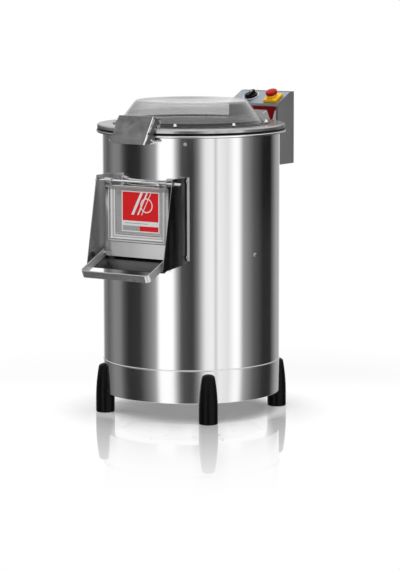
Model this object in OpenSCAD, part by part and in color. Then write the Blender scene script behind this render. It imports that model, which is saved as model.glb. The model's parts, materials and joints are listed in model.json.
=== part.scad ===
// Commercial electric potato peeler: a steel drum whose abrasive disc is belt driven from below.
// Millimetres, +Z up. The discharge door faces -Y and the origin is the drum's axis on the floor.

/* [Drum] */
// Outer radius of the drum and skirt wall
drum_r = 295.3; // [290:0.1:300]
// Thickness of the drum, skirt and cover sheet
sheet = 2; // [1.5:0.1:2.5]
// Height of the skirt's lower edge
skirt_z = 67; // [62:1:74]
// Height of the seam between skirt and drum
seam_z = 178.5; // [174:0.5:190]
// How far the seam bead stands out of the wall
seam_proud = 1.6; // [1:0.1:2.5]
// Height of the seam bead
seam_h = 5; // [4:0.5:7]
// Height of the drum's rim
rim_z = 946; // [940:1:952]
// How far the rolled rim stands out of the drum's wall
rim_out = 19.7; // [17.5:0.1:22.5]
// Height of the rolled rim
rim_h = 11; // [9:0.5:12]
// Height of the chamber, from its floor's lower face to the rim
chamber_h = 491; // [486:0.5:494]
// Width of the inward flange under the skirt
skirt_flange = 66; // [60:1:72]

/* [Feet] */
// How far the centres of the feet lie inside the drum's wall
foot_in = 1.3; // [-0.7:0.1:4.3]
// Radius of a foot near the floor
foot_r = 31.5; // [28:0.5:33]
// Radius of a foot where its dome starts
foot_top_r = 22; // [20:0.5:24]
// Height of a foot
foot_h = 165; // [160:1:170]
// Height at which the foot's taper starts
foot_taper_z = 45; // [40:1:66]
// Radius of the fixing hole in a foot's sole
sole_hole_r = 4.25; // [3:0.25:5]
// Depth of the fixing hole in a foot's sole
sole_hole_d = 30; // [20:1:40]

/* [Lid] */
// Height of the lid's outer lip
lid_h = 16; // [14:0.5:19]
// Gap between the rim and the lid's lip
lid_gap = 2; // [1.5:0.1:3]
// How far the lid's lip lies inside the rim
lid_in = 2.5; // [1:0.5:5]
// Width of the lid's flat ring
lid_flat = 86.5; // [82.5:0.5:92.5]
// How far the dome's wall stands outside the feed opening
dome_lip = 10; // [7:0.5:12]
// Width of the dome's sloping wall, seen from above
dome_slope = 60; // [54:1:66]
// Width of the dome's flange
dome_flange_w = 24; // [22:0.5:27]
// Height of the dome above its seat
dome_h = 79; // [74:0.5:84]
// Thickness of the dome
dome_t = 3.5; // [3:0.1:4.5]
// Distance of the dome screws from the flange's edge
dome_screw_in = 7; // [6:0.5:8.5]

/* [Discharge door] */
// Depth of the hinge rod's axis below the rim
rod_drop = 154.5; // [150:0.5:158]
// Distance of the hinge rod's axis from the drum's wall
rod_out = 22.7; // [20.7:0.1:25.7]
// Radius of the hinge rod
rod_r = 6; // [5:0.25:7]
// Width of the door
door_w = 250; // [246:1:252]
// Height of the door below the rod's axis
door_drop = 247.5; // [244:0.5:250]
// How far the throat lies inside the door's edge on each side
throat_in = 13; // [11:1:19]
// Gap between the door and each cheek
cheek_clear = 24.5; // [23:0.5:27]
// Thickness of a cheek
cheek_t = 2; // [1.5:0.1:2.5]
// How far a cheek's lower corner stands in front of the hinge rod
cheek_depth = 66; // [60:1:72]

/* [Door handle] */
// Length of the handle from its pivot to its front face
bail_len = 143; // [136:1:146]
// How far each of the handle's arms stands outside the door
bail_clear = 10; // [8:0.5:11]
// Height of the handle's flat bar
bar_h = 25; // [22:0.5:26]
// Thickness of the handle's flat bar
bar_t = 4; // [3:0.25:5]
// Slope of the handle and the chute floor
chute_slope = 24; // [22:0.5:26]

/* [Control box] */
// Width of the control box
box_w = 200; // [190:1:210]
// Depth of the control box
box_d = 102; // [98:1:106]
// Gap between the drum's wall and the box's front
box_gap = 85.7; // [82.7:0.5:89.7]
// Height of the box
box_h = 248; // [240:1:256]
// How far the box stands above the drum's rim
box_rise = 102; // [94:1:110]
// Depth of the flat strip behind the sloping panel
box_strip = 22; // [18:1:26]
// Slope of the control panel
panel_slope = 25; // [20:0.5:28]
// Radius of the timer knob
knob_r = 22; // [18:0.5:24]
// Side of the stop button's square base
estop_w = 51; // [46:1:54]
// Radius of the stop button's cap
estop_cap_r = 20.5; // [18:0.5:22]

/* [Drive] */
// Gap between the peeling disc and the drum's wall
disc_gap = 25.3; // [21.3:0.5:33.3]
// Radius of the main shaft
shaft_r = 12.5; // [12:0.5:13.5]
// Distance between the driven pulley's edge and the motor shaft
pulley_in = 71; // [68:1:78]
// Radius of the motor pulley
motor_pulley_r = 28; // [25:0.5:30]
// Distance from the motor shaft to the drum's wall
motor_in = 119.3; // [115.3:0.5:123.3]
// Radius of the motor's finned body
motor_r = 57; // [52:1:59]
// Length of the motor's body
motor_len = 124; // [116:1:126]

/* [Water] */
// Radius of the drain pipe
drain_r = 25; // [22:0.5:26]
// Length of the drain pipe outside the drum
drain_len = 105; // [90:1:110]
// Radius of the water inlet's thread
inlet_r = 13.2; // [12:0.1:14]

/* [Hidden] */
$fn = 96;
// Overrun of every cut
over = 1;
// Gap left between pieces that seat on each other
seat = 0.2;
// Radial clearance of pins and shafts that turn
run = 0.06;
// Clearance of a screw in its hole
screw_fit = 0.2;

// Sizes that follow from the drum, its rim and the door
rim_r = drum_r + rim_out;
floor_z = rim_z - chamber_h;
foot_pitch_r = drum_r - foot_in;
lid_r = rim_r - lid_in;
lid_hole_r = lid_r - lid_flat;
dome_r = lid_hole_r + dome_lip;
dome_top_r = dome_r - dome_slope;
dome_flange_r = dome_r + dome_flange_w;
dome_screw_pitch_r = dome_flange_r - dome_screw_in;
rod_z = rim_z - rod_drop;
rod_y = drum_r + rod_out;
throat_half_w = door_w / 2 - throat_in;
cheek_gap = door_w + 2 * cheek_clear;
cheek_reach = rod_y + cheek_depth;
bail_w = door_w + 2 * bail_clear;
box_y = drum_r + box_gap;
box_top_z = rim_z + box_rise;
box_z = box_top_z - box_h;
disc_r = drum_r - disc_gap;
belt_centres = drum_r - motor_in;
pulley_r = belt_centres - pulley_in;
// Radius used where a cut has to reach past the whole drum
far = 2 * rim_r;

// Heights of the chamber
floor_t = 3;
floor_top = floor_z + floor_t;
wall_in_r = drum_r - sheet;
rim_t = 3;
rim_sleeve_h = 22;
liner_t = 2.5;
liner_clear = 1;
liner_r = wall_in_r - seat;
liner_z0 = floor_top + seat;
liner_z1 = rim_z - rim_sleeve_h - liner_clear;
liner_side = 18.8;
liner_front_az = asin((throat_half_w + liner_side) / liner_r);
liner_split_az = 128;
screw_r = 2.5;
screw_head_r = 6;
screw_head_h = 3;
upper_screw_drop = 30.5;
lower_screw_lift = 92;
upper_screw_az = [-30.5, 30.5, -150, 150];
lower_screw_az = [-79, 79, -140, 140];

// Floor support ring
support_w = 24;
support_h = 20;

// Feet
foot_az = [45, 135, 225, 315];
foot_round = 4;
foot_dome = 12;
foot_bolt_r = 4;
foot_bolt_head_r = 6.5;
foot_bolt_head_h = 5;
foot_bolt_zs = [foot_h - 2 * foot_dome, skirt_z + 1.6 * foot_bolt_head_r];
foot_bolt_grip = 12;

// Lid
lid_z = rim_z + lid_gap;
lid_sheet = 2.5;
lid_top_z = lid_z + lid_h;
lid_edge_r = 5;
dome_seal_t = 1.5;
dome_z = lid_top_z + dome_seal_t;
shoulder_r = 17;
dome_crown = 3;
dome_screw_count = 8;
dome_screw_first = 22.5;
dome_screw_r = 2.5;
dome_screw_head_r = 5.2;
dome_screw_head_h = 9;
dome_washer_r = 6.6;
dome_washer_t = 1.2;
lid_seal_w = 8;

// Lid hinge at the back
hinge_out = 17;
hinge_y = rim_r + hinge_out;
hinge_up = 9;
hinge_z = rim_z + hinge_up;
hinge_pin_r = 4;
hinge_knuckle_r = 8;
hinge_strap_t = 3;
hinge_strap_w = 60;
hinge_lug_t = 5;
hinge_pin_over = 5;
hinge_foot_drop = 66;
hinge_foot_z = rim_z - hinge_foot_drop;
hinge_clear = 1;

// Latch at the front
latch_w = 137;
latch_t = 2;
latch_pivot_in = 32.5;
latch_pivot_y = rim_r - latch_pivot_in;
latch_pivot_up = 22.5;
latch_pivot_z = lid_top_z + latch_pivot_up;
latch_pin_r = 4;
latch_eye_r = 10;
latch_top_up = 40.5;
latch_top_in = 1;
latch_top = [rim_r - latch_top_in, lid_top_z + latch_top_up];
latch_low_drop = 30.5;
latch_low_out = 54;
latch_low = [rim_r + latch_low_out, lid_z - latch_low_drop];
latch_back_in = 5.5;
latch_back_y = rim_r - latch_back_in;
latch_clear = 5;
latch_lug_t = 3;
latch_lug_d = 18;
latch_lip = 12;
keeper_r = 4;
keeper_out = 12;
keeper_y = rim_r + keeper_out;
keeper_drop = 11.5;
keeper_z = rim_z - rim_h - keeper_drop;
keeper_plate_t = 3;
notch_lift = 11;
notch_drop = 10;

// Door
door_sheet = 1.5;
door_front_y = rod_y;
door_z0 = rod_z - door_drop;
door_depth = 18;
door_back_y = rod_y - door_depth;
bead_r = 5;
bead_gap = 1.5;
bead_z = rod_z - rod_r - bead_r - bead_gap;
bead_inset = 2;
knuckle_r = 10;
knuckle_w = 28;
knuckle_in = 16;
knuckle_x = door_w / 2 - knuckle_in;
flap_h = 50;
pad_side = 13;
pad_wall = 4;
recess_side = 36;
recess_low = 24;
recess_top = 22;
recess_step = 14;
recess_step_depth = 6;
throat_sill = 22;
throat_z0 = door_z0 + throat_sill;
throat_head = 9;
throat_z1 = bead_z - bead_r - throat_head;
throat_t = 2;
gasket_room = 3.6;
throat_y = door_back_y - gasket_room;
gasket_t = 3;
gasket_w = 6;

// Cheeks
cheek_x = cheek_gap / 2;
cheek_flange_w = 10;
cheek_above_rod = 16.5;
cheek_top = rod_z + cheek_above_rod;
cheek_under = 30.5;
cheek_low = door_z0 - cheek_under;
cheek_flange_under = 6.5;
cheek_flange_z0 = door_z0 - cheek_flange_under;
cheek_past_rod = 9;
cheek_front_top = rod_y + cheek_past_rod;
cheek_screw_inset = 12;
nut_r = 10;
nut_t = 6;
nut_dome_r = 7;
buffer_out = 37;
buffer_y = rod_y + buffer_out;
buffer_up = 6.5;
buffer_z = door_z0 + buffer_up;
buffer_r = 8;
buffer_len = 9;

// Handle
bail_pivot_in = 9;
bail_pivot_y = door_front_y - bail_pivot_in;
bail_pivot_up = 9;
bail_pivot_z = door_z0 + bail_pivot_up;
bail_pin_r = 3;
bail_pin_head_r = 5.5;
bail_pin_head_t = 2;
bail_bend_r = 16;
bail_rest_gap = 0.4;
bail_inner_x = bail_w / 2 - bar_t;

// Control box
box_x = box_w / 2;
box_back = box_y + box_d;
slope_run = box_d - box_strip;
box_front_z = box_top_z - slope_run * tan(panel_slope);
slope_len = slope_run / cos(panel_slope);
panel_t = 2;
panel_lip = 7;
knob_from_side = 63;
knob_x = knob_from_side - box_x;
knob_from_back = 41;
knob_v = slope_len - knob_from_back;
estop_from_side = 37;
estop_x = box_x - estop_from_side;
estop_from_front = 5.5;
estop_v = estop_w / 2 + estop_from_front;
dial_r = 28.5;
dial_t = 1;
knob_base_h = 6;
knob_h = 14;
knob_grip_t = 12;
timer_shaft_r = 3;
estop_base_h = 9;
estop_collar_r = 19;
estop_collar_h = 10.5;
estop_travel = 4;
estop_cap_h = 10;
estop_stem_r = 8;
estop_under = 22;
wave_turn_share = 1 / 6;
bracket_w = 120;
bracket_h = 42;
bracket_gap = 4;
bracket_z = hinge_foot_z - bracket_h - bracket_gap;
rail_up = 66;
rail_z = box_z + rail_up;
din_h = 35;
din_t = 7;
contactor_size = [45, 62, 74];
terminal_size = [70, 34, 26];
timer_size = [48, 46, 38];
estop_block_size = [30, 40, 36];
gland_x = -46;
gland_up = 40;
gland_z = box_z + gland_up;
gland_bore_r = 6;
gland_thread_r = 10;
gland_flange_r = 16;
gland_nut_r = 15;
gland_flange_t = 7;
gland_neck = 6;
gland_nut_t = 17;
gland_tail = 9;
locknut_t = 5;
cover_screw_r = 2;
cover_screw_head_r = 4;
cover_screw_head_t = 2.5;
cover_screw_inset = 12;
cover_screw_x = box_x - sheet - cover_screw_head_r;

// Drive
housing_flange_r = 70;
housing_flange_t = 8;
housing_r = 38;
housing_len = 112;
housing_bore_r = 18;
bearing_r = 26;
bearing_t = 15;
bearing_shield = 1;
hub_bolt_pitch_r = 56;
hub_bolt_r = 4;
hub_bolt_head_r = 6.5;
hub_bolt_head_h = 5;
seal_r = 24;
seal_h = 8;
disc_lift = 20;
disc_t = 8;
disc_hub_r = 38;
disc_hub_gap = 11;
pad_t = 4;
pad_edge = 7;
wave_h = 14;
wave_w = 52;
wave_count = 3;
disc_bolt_r = 20;
disc_bolt_h = 10;
belt_w = 13;
pulley_h = 22;
pulley_drop = 192;
pulley_z = floor_z - pulley_drop;
groove_depth = 9;
pulley_hub_r = 30;
pulley_web_t = 8;
rail_w = 26;
rail_h = 30;
rail_x = 84;
plate_t = 6;
chassis_drop = 149;
chassis_z = floor_z - chassis_drop;
plate_over = 8;
plate_len = 150;
motor_flange_r = 69;
motor_flange_t = 8;
motor_cap_t = 10;
fin_h = 5;
fin_t = 3;
fin_count = 16;
motor_bolt_pitch_r = 63.2;
motor_bolt_r = 3;
motor_bolt_head_r = 4.8;
motor_bolt_head_h = 4;
motor_shaft_r = 9.5;
motor_bore_gap = 1;
terminal_box = [50, 22, 60];
cover_z = skirt_z + sheet + seat;
cover_lap = 14;
vent_r = 8;
vent_count = 10;
base_screw_count = 6;

// Water
drain_az = -165;
drain_up = 2;
drain_z = floor_top + drain_r + drain_up;
drain_wall = 3;
water_az = -155;
water_drop = 56;
water_z = rim_z - water_drop;
pipe_r = 8;
pipe_wall = 1.5;
nozzle_reach = 24;
nozzle_r = 11;
nozzle_h = 18;
valve_gap = 16;
valve_r = 17;
valve_len = 52;
coil_size = [34, 34, 44];
inlet_len = 14;
inlet_bore_r = 8;
conduit_x = 20;
conduit_r = 11;
conduit_wall = 1.5;
conduit_drop = 52;
conduit_z = floor_z - conduit_drop;
conduit_in = 26;
conduit_y = box_y + conduit_in;
conduit_bend_r = 36;
conduit_nut_t = 6;
conduit_nut_r = 17;

STEEL = "silver";
DARK_STEEL = "dimgray";
BLACK = "black";

// Turns local +X outward at an azimuth counted from -Y towards +X
module radial(az) rotate([0, 0, az - 90]) children();

// Solid between two heights, radius r
module disc(r, z0, z1) translate([0, 0, z0]) cylinder(r = r, h = z1 - z0);

// Ring between two radii and two heights
module ring(r_in, r_out, z0, z1) difference() {
    disc(r_out, z0, z1);
    disc(r_in, z0 - over, z1 + over);
}

// Extrudes an outline given as [y, z] points from x0 to x1
module side_plate(x0, x1) translate([x0, 0, 0]) rotate([90, 0, 90]) linear_extrude(x1 - x0) children();

// Round bar along X
module bar_x(r, x0, x1, y, z) translate([x0, y, z]) rotate([0, 90, 0]) cylinder(r = r, h = x1 - x0);

// Round bar along local X from the origin outwards
module bar_out(r, x0, x1) translate([x0, 0, 0]) rotate([0, 90, 0]) cylinder(r = r, h = x1 - x0);

// Block between two corners
module block(low, high) translate(low) cube(high - low);

// Copies a child at +X and mirrored at -X
module pair() {
    children();
    mirror([1, 0, 0]) children();
}

// Frame of the sloping panel: X across, Y up the slope, Z out of it, origin at its front edge
module on_panel() translate([0, box_y, box_front_z]) rotate([panel_slope, 0, 0]) children();

// Frame of the handle: X across, Y from its pivot to its front, Z over its bar's height
module on_handle() translate([0, -bail_pivot_y, bail_pivot_z]) rotate([chute_slope, 0, 0])
    mirror([0, 1, 0]) children();

// Holes of the screws that hold the liners, through wall and liner
module liner_screw_holes() {
    for (az = upper_screw_az) radial(az) translate([0, 0, rim_z - upper_screw_drop])
        bar_out(screw_r + screw_fit, liner_r - 2 * liner_t, drum_r + over);
    for (az = lower_screw_az) radial(az) translate([0, 0, floor_z + lower_screw_lift])
        bar_out(screw_r + screw_fit, liner_r - 2 * liner_t, drum_r + over);
}

// Screw along local +X: shank from x0 to the seat at x1, with a domed head beyond the seat
module screw_out(x0, x1) {
    bar_out(screw_r, x0, x1 + over);
    translate([x1, 0, 0]) rotate([0, 90, 0]) rotate_extrude() polygon(concat([[0, 0]],
        [for (a = [0 : 15 : 90]) [screw_head_r * cos(a), screw_head_h * (0.3 * sign(a) + 0.7 * sin(a))]]));
}

// Holes of the screws in both cheeks' flanges, through wall and liner
module cheek_screw_holes() pair() for (z = cheek_screw_zs) radial(cheek_screw_az)
    translate([0, 0, z]) bar_out(screw_r + screw_fit, drum_r / 2, far);

// Passages of the drain and the water pipe through the drum's wall and liner
module pipe_holes() {
    radial(drain_az) translate([0, 0, drain_z]) bar_out(drain_r + screw_fit, drum_r / 2, far);
    radial(water_az) translate([0, 0, water_z]) bar_out(pipe_r + screw_fit, drum_r / 2, far);
}

// Outline of the discharge throat, grown by a margin
module throat_block(grow, y0, y1) block(
    [-throat_half_w - grow, y0, throat_z0 - grow], [throat_half_w + grow, y1, throat_z1 + grow]);

module base_skirt() color(STEEL) difference() {
    union() {
        ring(wall_in_r, drum_r, skirt_z, seam_z);
        ring(drum_r - skirt_flange, drum_r, skirt_z, skirt_z + sheet);
        ring(wall_in_r, drum_r + seam_proud, seam_z - seam_h, seam_z);
    }
    for (az = foot_az, z = foot_bolt_zs) radial(az) translate([0, 0, z])
        bar_out(foot_bolt_r + screw_fit, drum_r / 2, far);
    for (i = [0 : base_screw_count - 1]) radial(i * 360 / base_screw_count)
        translate([drum_r - skirt_flange + cover_lap / 2, 0, 0])
            disc(cover_screw_r + screw_fit, 0, seam_z);
}

// Bottom cover plate and its screws
module bottom_cover() color(STEEL) {
    cover_plate();
    for (i = [0 : base_screw_count - 1]) radial(i * 360 / base_screw_count)
        translate([drum_r - skirt_flange + cover_lap / 2, 0, 0]) {
            disc(cover_screw_head_r, skirt_z - seat - cover_screw_head_t, skirt_z - seat);
            disc(cover_screw_r, skirt_z - seat - over, cover_z + sheet + cover_screw_head_t);
        }
}

// Vented plate inside the skirt
module cover_plate() difference() {
    disc(drum_r - skirt_flange + cover_lap, cover_z, cover_z + sheet);
    for (i = [0 : base_screw_count - 1]) radial(i * 360 / base_screw_count)
        translate([drum_r - skirt_flange + cover_lap / 2, 0, 0])
            disc(cover_screw_r + screw_fit, 0, seam_z);
    for (i = [0 : vent_count - 1]) radial(i * 360 / vent_count)
        translate([drum_r / 2, 0, 0]) disc(vent_r, 0, seam_z);
}

// Foot that bulges up to a domed top, cut to sit against the skirt's wall
module foot(az) color(BLACK) difference() {
    radial(az) translate([foot_pitch_r, 0, 0]) rotate_extrude() polygon(concat(
        [[0, 0], [foot_r - foot_round, 0]],
        [for (a = [-75 : 15 : 0]) [foot_r - foot_round + foot_round * cos(a),
            foot_round + foot_round * sin(a)]],
        [for (t = [0 : 0.125 : 1]) [foot_r - (foot_r - foot_top_r) * t * t,
            foot_taper_z + (foot_h - foot_dome - foot_taper_z) * t]],
        [for (a = [15 : 15 : 90]) [foot_top_r * cos(a), foot_h - foot_dome + foot_dome * sin(a)]]));
    disc(drum_r + seat, skirt_z - seat, 2 * foot_h);
    disc(drum_r + seam_proud + seat, seam_z - seam_h - seat, 2 * foot_h);
    for (z = foot_bolt_zs) radial(az) translate([0, 0, z])
        bar_out(foot_bolt_r + screw_fit, drum_r / 2, drum_r + foot_bolt_grip + seat);
    radial(az) translate([foot_pitch_r, 0, 0]) disc(sole_hole_r, -over, sole_hole_d);
}

module foot_front_right() foot(foot_az[0]);
module foot_rear_right() foot(foot_az[1]);
module foot_rear_left() foot(foot_az[2]);
module foot_front_left() foot(foot_az[3]);

// Bolts that hold the feet, driven from inside the skirt
module foot_bolts() color(STEEL)
    for (az = foot_az, z = foot_bolt_zs) radial(az) translate([0, 0, z]) {
        bar_out(foot_bolt_r, wall_in_r - 2 * foot_bolt_head_h, drum_r + foot_bolt_grip);
        translate([wall_in_r - 3 * seat - foot_bolt_head_h, 0, 0]) rotate([0, 90, 0])
            cylinder(r = foot_bolt_head_r, h = foot_bolt_head_h, $fn = 6);
    }

module drum_shell() color(STEEL) difference() {
    ring(wall_in_r, drum_r, seam_z + seat, rim_z - rim_t - seat);
    throat_block(0, -far, 0);
    liner_screw_holes();
    pipe_holes();
    translate([conduit_x, 0, conduit_z]) rotate([-90, 0, 0])
        cylinder(r = conduit_r + screw_fit, h = far);
    cheek_screw_holes();
}

module rim_ring() color(STEEL) rotate_extrude() {
    translate([wall_in_r - seat - sheet, rim_z - rim_sleeve_h]) square([sheet, rim_sleeve_h]);
    translate([wall_in_r - seat - sheet, rim_z - rim_t])
        square([rim_r - rim_h / 2 - wall_in_r + seat + sheet, rim_t]);
    translate([rim_r - rim_h / 2, rim_z - rim_h / 2]) circle(r = rim_h / 2);
}

module floor_ring() color(STEEL) {
    ring(wall_in_r - seat - support_w, wall_in_r - seat, floor_z - seat - sheet, floor_z - seat);
    ring(wall_in_r - seat - sheet, wall_in_r - seat, floor_z - seat - support_h, floor_z - seat);
}

module chamber_floor() color(STEEL) difference() {
    disc(wall_in_r - seat, floor_z, floor_top);
    disc(housing_bore_r, 0, rim_z);
    for (i = [0 : 3]) radial(45 + 90 * i) translate([hub_bolt_pitch_r, 0, 0])
        disc(hub_bolt_r + screw_fit, 0, rim_z);
}

// One liner panel between two azimuths
module liner(az0, az1) color("gainsboro") difference() {
    intersection() {
        ring(liner_r - liner_t, liner_r, liner_z0, liner_z1);
        linear_extrude(rim_z) polygon(concat([[0, 0]],
            [for (i = [0 : 4]) let (az = az0 + (az1 - az0) * i / 4) [far * sin(az), -far * cos(az)]]));
    }
    liner_screw_holes();
    cheek_screw_holes();
    pipe_holes();
}

module liner_panels() {
    liner(liner_front_az, liner_split_az);
    liner(liner_split_az + 1, 359 - liner_split_az);
    liner(360 - liner_split_az, 360 - liner_front_az);
}

// Heights of the screws in a cheek's flange
cheek_screw_zs = [cheek_flange_z0 + cheek_screw_inset, cheek_top - cheek_screw_inset];

module drum_screws() color(STEEL) {
    for (az = upper_screw_az) radial(az) translate([0, 0, rim_z - upper_screw_drop])
        screw_out(liner_r - liner_t, drum_r + seat);
    for (az = lower_screw_az) radial(az) translate([0, 0, floor_z + lower_screw_lift])
        screw_out(liner_r - liner_t, drum_r + seat);
    pair() for (z = cheek_screw_zs) radial(cheek_screw_az) translate([0, 0, z])
        screw_out(liner_r - liner_t, cheek_flange_r + cheek_t + seat);
}

module bearing_housing() color(DARK_STEEL) difference() {
    union() {
        disc(housing_flange_r, floor_z - seat - housing_flange_t, floor_z - seat);
        disc(housing_r, floor_z - seat - housing_len, floor_z - seat);
    }
    disc(housing_bore_r, 0, rim_z);
    disc(bearing_r + run, floor_z - housing_flange_t - bearing_t, rim_z);
    disc(bearing_r + run, 0, floor_z - housing_len + bearing_t);
    for (i = [0 : 3]) radial(45 + 90 * i) translate([hub_bolt_pitch_r, 0, 0])
        disc(hub_bolt_r + screw_fit, 0, rim_z);
}

module hub_bolts() color(STEEL)
    for (i = [0 : 3]) radial(45 + 90 * i) translate([hub_bolt_pitch_r, 0, 0]) {
        disc(hub_bolt_r, floor_z - 2 * housing_flange_t, floor_top + seat + over);
        translate([0, 0, floor_top + seat])
            cylinder(r = hub_bolt_head_r, h = hub_bolt_head_h, $fn = 6);
        translate([0, 0, floor_z - 3 * seat - housing_flange_t - hub_bolt_head_h])
            cylinder(r = hub_bolt_head_r, h = hub_bolt_head_h, $fn = 6);
    }

// Shielded ball bearing with its lower face at z
module bearing(z) difference() {
    ring(shaft_r + run, bearing_r, z, z + bearing_t);
    ring((2 * shaft_r + bearing_r) / 3, (shaft_r + 2 * bearing_r) / 3, z - over, z + bearing_shield);
    ring((2 * shaft_r + bearing_r) / 3, (shaft_r + 2 * bearing_r) / 3,
        z + bearing_t - bearing_shield, z + bearing_t + over);
}

module bearings() color(STEEL) {
    bearing(floor_z - housing_flange_t - bearing_t + seat);
    bearing(floor_z - seat - housing_len);
}

module shaft_seal() color(BLACK) difference() {
    union() {
        ring(shaft_r + run, seal_r, floor_top + seat, floor_top + seal_h / 2);
        ring(shaft_r + run, housing_bore_r, floor_top + seat, floor_top + seal_h);
        ring(shaft_r + run, housing_bore_r - seat, floor_z, floor_top + seal_h);
    }
}

module chassis_rails() color(DARK_STEEL) intersection() {
    disc(wall_in_r - seat, chassis_z, chassis_z + rail_h);
    pair() difference() {
        block([rail_x - rail_w / 2, -far, chassis_z], [rail_x + rail_w / 2, far, chassis_z + rail_h]);
        block([rail_x - rail_w / 2 + sheet, -far - over, chassis_z + sheet],
            [rail_x + rail_w / 2 - sheet, far + over, chassis_z + rail_h - sheet]);
    }
}

module motor_plate() color(STEEL) difference() {
    block([-rail_x - rail_w / 2 + plate_over, belt_centres - plate_len / 2, chassis_z - seat - plate_t],
        [rail_x + rail_w / 2 - plate_over, belt_centres + plate_len / 2 - 2 * plate_over,
            chassis_z - seat]);
    translate([0, belt_centres, 0]) {
        disc(motor_shaft_r + 2 * motor_bore_gap, 0, rim_z);
        for (i = [0 : 3]) radial(45 + 90 * i) translate([motor_bolt_pitch_r, 0, 0])
            disc(motor_bolt_r + screw_fit, 0, rim_z);
    }
}

module motor_body() color("slategray") translate([0, belt_centres, 0]) difference() {
    union() {
        disc(motor_flange_r, chassis_z, chassis_z + motor_flange_t);
        disc(motor_r - fin_h, chassis_z, chassis_z + motor_len + motor_flange_t);
        disc(motor_r, chassis_z + motor_flange_t + motor_len - motor_cap_t,
            chassis_z + motor_flange_t + motor_len);
        for (i = [0 : fin_count - 1]) rotate([0, 0, (i + 0.5) * 360 / fin_count])
            block([0, -fin_t / 2, chassis_z + motor_flange_t - over],
                [motor_r, fin_t / 2, chassis_z + motor_flange_t + motor_len - motor_cap_t + over]);
        block([-terminal_box[0] / 2, 0, chassis_z + motor_flange_t + terminal_box[2] / 2],
            [terminal_box[0] / 2, motor_r + terminal_box[1],
                chassis_z + motor_flange_t + 3 * terminal_box[2] / 2]);
    }
    disc(motor_shaft_r + run, chassis_z - over, chassis_z + motor_flange_t + motor_len / 2);
    for (i = [0 : 3]) radial(45 + 90 * i) translate([motor_bolt_pitch_r, 0, 0])
        disc(motor_bolt_r + screw_fit, 0, rim_z);
}

module motor_bolts() color(STEEL) translate([0, belt_centres, 0])
    for (i = [0 : 3]) radial(45 + 90 * i) translate([motor_bolt_pitch_r, 0, 0]) {
        disc(motor_bolt_r, chassis_z - 2 * plate_t, chassis_z + motor_flange_t + seat + over);
        translate([0, 0, chassis_z + motor_flange_t + seat])
            cylinder(r = motor_bolt_head_r, h = motor_bolt_head_h, $fn = 6);
    }

// Loop around both pulleys, grown by a margin, as a flat outline
module belt_outline(grow) hull() {
    circle(r = pulley_r - groove_depth + grow, $fn = 64);
    translate([0, belt_centres]) circle(r = motor_pulley_r - groove_depth + grow, $fn = 64);
}

belt_inner = 0.5;
belt_sink = 0.5;
belt_outer = groove_depth - belt_sink;

module drive_belt() color(BLACK) translate([0, 0, pulley_z + pulley_h / 2 - belt_w / 2])
    linear_extrude(belt_w) difference() {
        belt_outline(belt_outer);
        belt_outline(belt_inner);
    }

// Grooved pulley blank around the origin with a bore
module pulley(r, bore) difference() {
    rotate_extrude() difference() {
        translate([bore, pulley_z]) square([r - bore, pulley_h]);
        translate([r - groove_depth, pulley_z + pulley_h / 2 - belt_w / 2 - belt_inner])
            square([groove_depth + over, belt_w + 2 * belt_inner]);
    }
}

module main_shaft() color(STEEL)
    disc(shaft_r, pulley_z - over, floor_top + disc_lift + disc_t + pad_t);

module driven_pulley() color(DARK_STEEL) difference() {
    pulley(pulley_r, shaft_r + run);
    for (z = [[pulley_z - over, pulley_z + (pulley_h - pulley_web_t) / 2],
              [pulley_z + (pulley_h + pulley_web_t) / 2, pulley_z + pulley_h + over]])
        ring(pulley_hub_r, pulley_r - 2 * groove_depth, z[0], z[1]);
}

module peeling_disc() color(DARK_STEEL) difference() {
    union() {
        disc(disc_r, floor_top + disc_lift, floor_top + disc_lift + disc_t);
        disc(disc_hub_r, floor_top + disc_hub_gap, floor_top + disc_lift + over);
    }
    disc(shaft_r + run, 0, rim_z);
}

pad_r = disc_r - pad_edge;
pad_top_z = floor_top + disc_lift + disc_t + pad_t;
wave_out_r = sqrt(pad_r * pad_r - wave_w * wave_w / 4) - over;

// Gritted disc with raised waves that turn the load over
module abrasive_pad() color("dimgray") difference() {
    union() {
        disc(pad_r, pad_top_z - pad_t + seat, pad_top_z);
        for (i = [0 : wave_count - 1]) rotate([0, 0, (i + wave_turn_share) * 360 / wave_count])
            side_plate(disc_hub_r, wave_out_r) polygon([for (a = [0 : 20 : 180])
                [wave_w / 2 * cos(a), pad_top_z - over + (wave_h + over) * sin(a)]]);
    }
    disc(disc_bolt_r + screw_fit, 0, rim_z);
}

module disc_bolt() color(STEEL) {
    z = floor_top + disc_lift + disc_t + pad_t + seat;
    translate([0, 0, z]) cylinder(r = disc_bolt_r - screw_fit, h = disc_bolt_h / 2);
    translate([0, 0, z]) cylinder(r = disc_bolt_r / 2, h = disc_bolt_h, $fn = 6);
}

module motor_rotor() color(STEEL) translate([0, belt_centres, 0]) {
    disc(motor_shaft_r, pulley_z - over, chassis_z + motor_flange_t + motor_len / 2 - over);
    pulley(motor_pulley_r, motor_shaft_r - over);
}

cheek_flange_r = drum_r + seat;
cheek_screw_az = asin((cheek_x + cheek_t + cheek_flange_w / 2) / drum_r);

// Cheek plate on the right side, with its flange on the drum and its rolled upper corner
module cheek() difference() {
    union() {
        side_plate(cheek_x, cheek_x + cheek_t) difference() {
            polygon([[-drum_r / 2, cheek_flange_z0], [-drum_r / 2, cheek_top],
                [-cheek_front_top, cheek_top], [-cheek_reach, cheek_low]]);
        }
        intersection() {
            ring(cheek_flange_r, cheek_flange_r + cheek_t, cheek_flange_z0, cheek_top);
            block([cheek_x + cheek_t / 2, -far, 0],
                [cheek_x + cheek_t + cheek_flange_w, 0, 2 * cheek_top]);
        }
    }
    disc(cheek_flange_r, 0, 2 * cheek_top);
    bar_x(rod_r + screw_fit, 0, far, -rod_y, rod_z);
    cheek_screw_holes();
}

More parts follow.
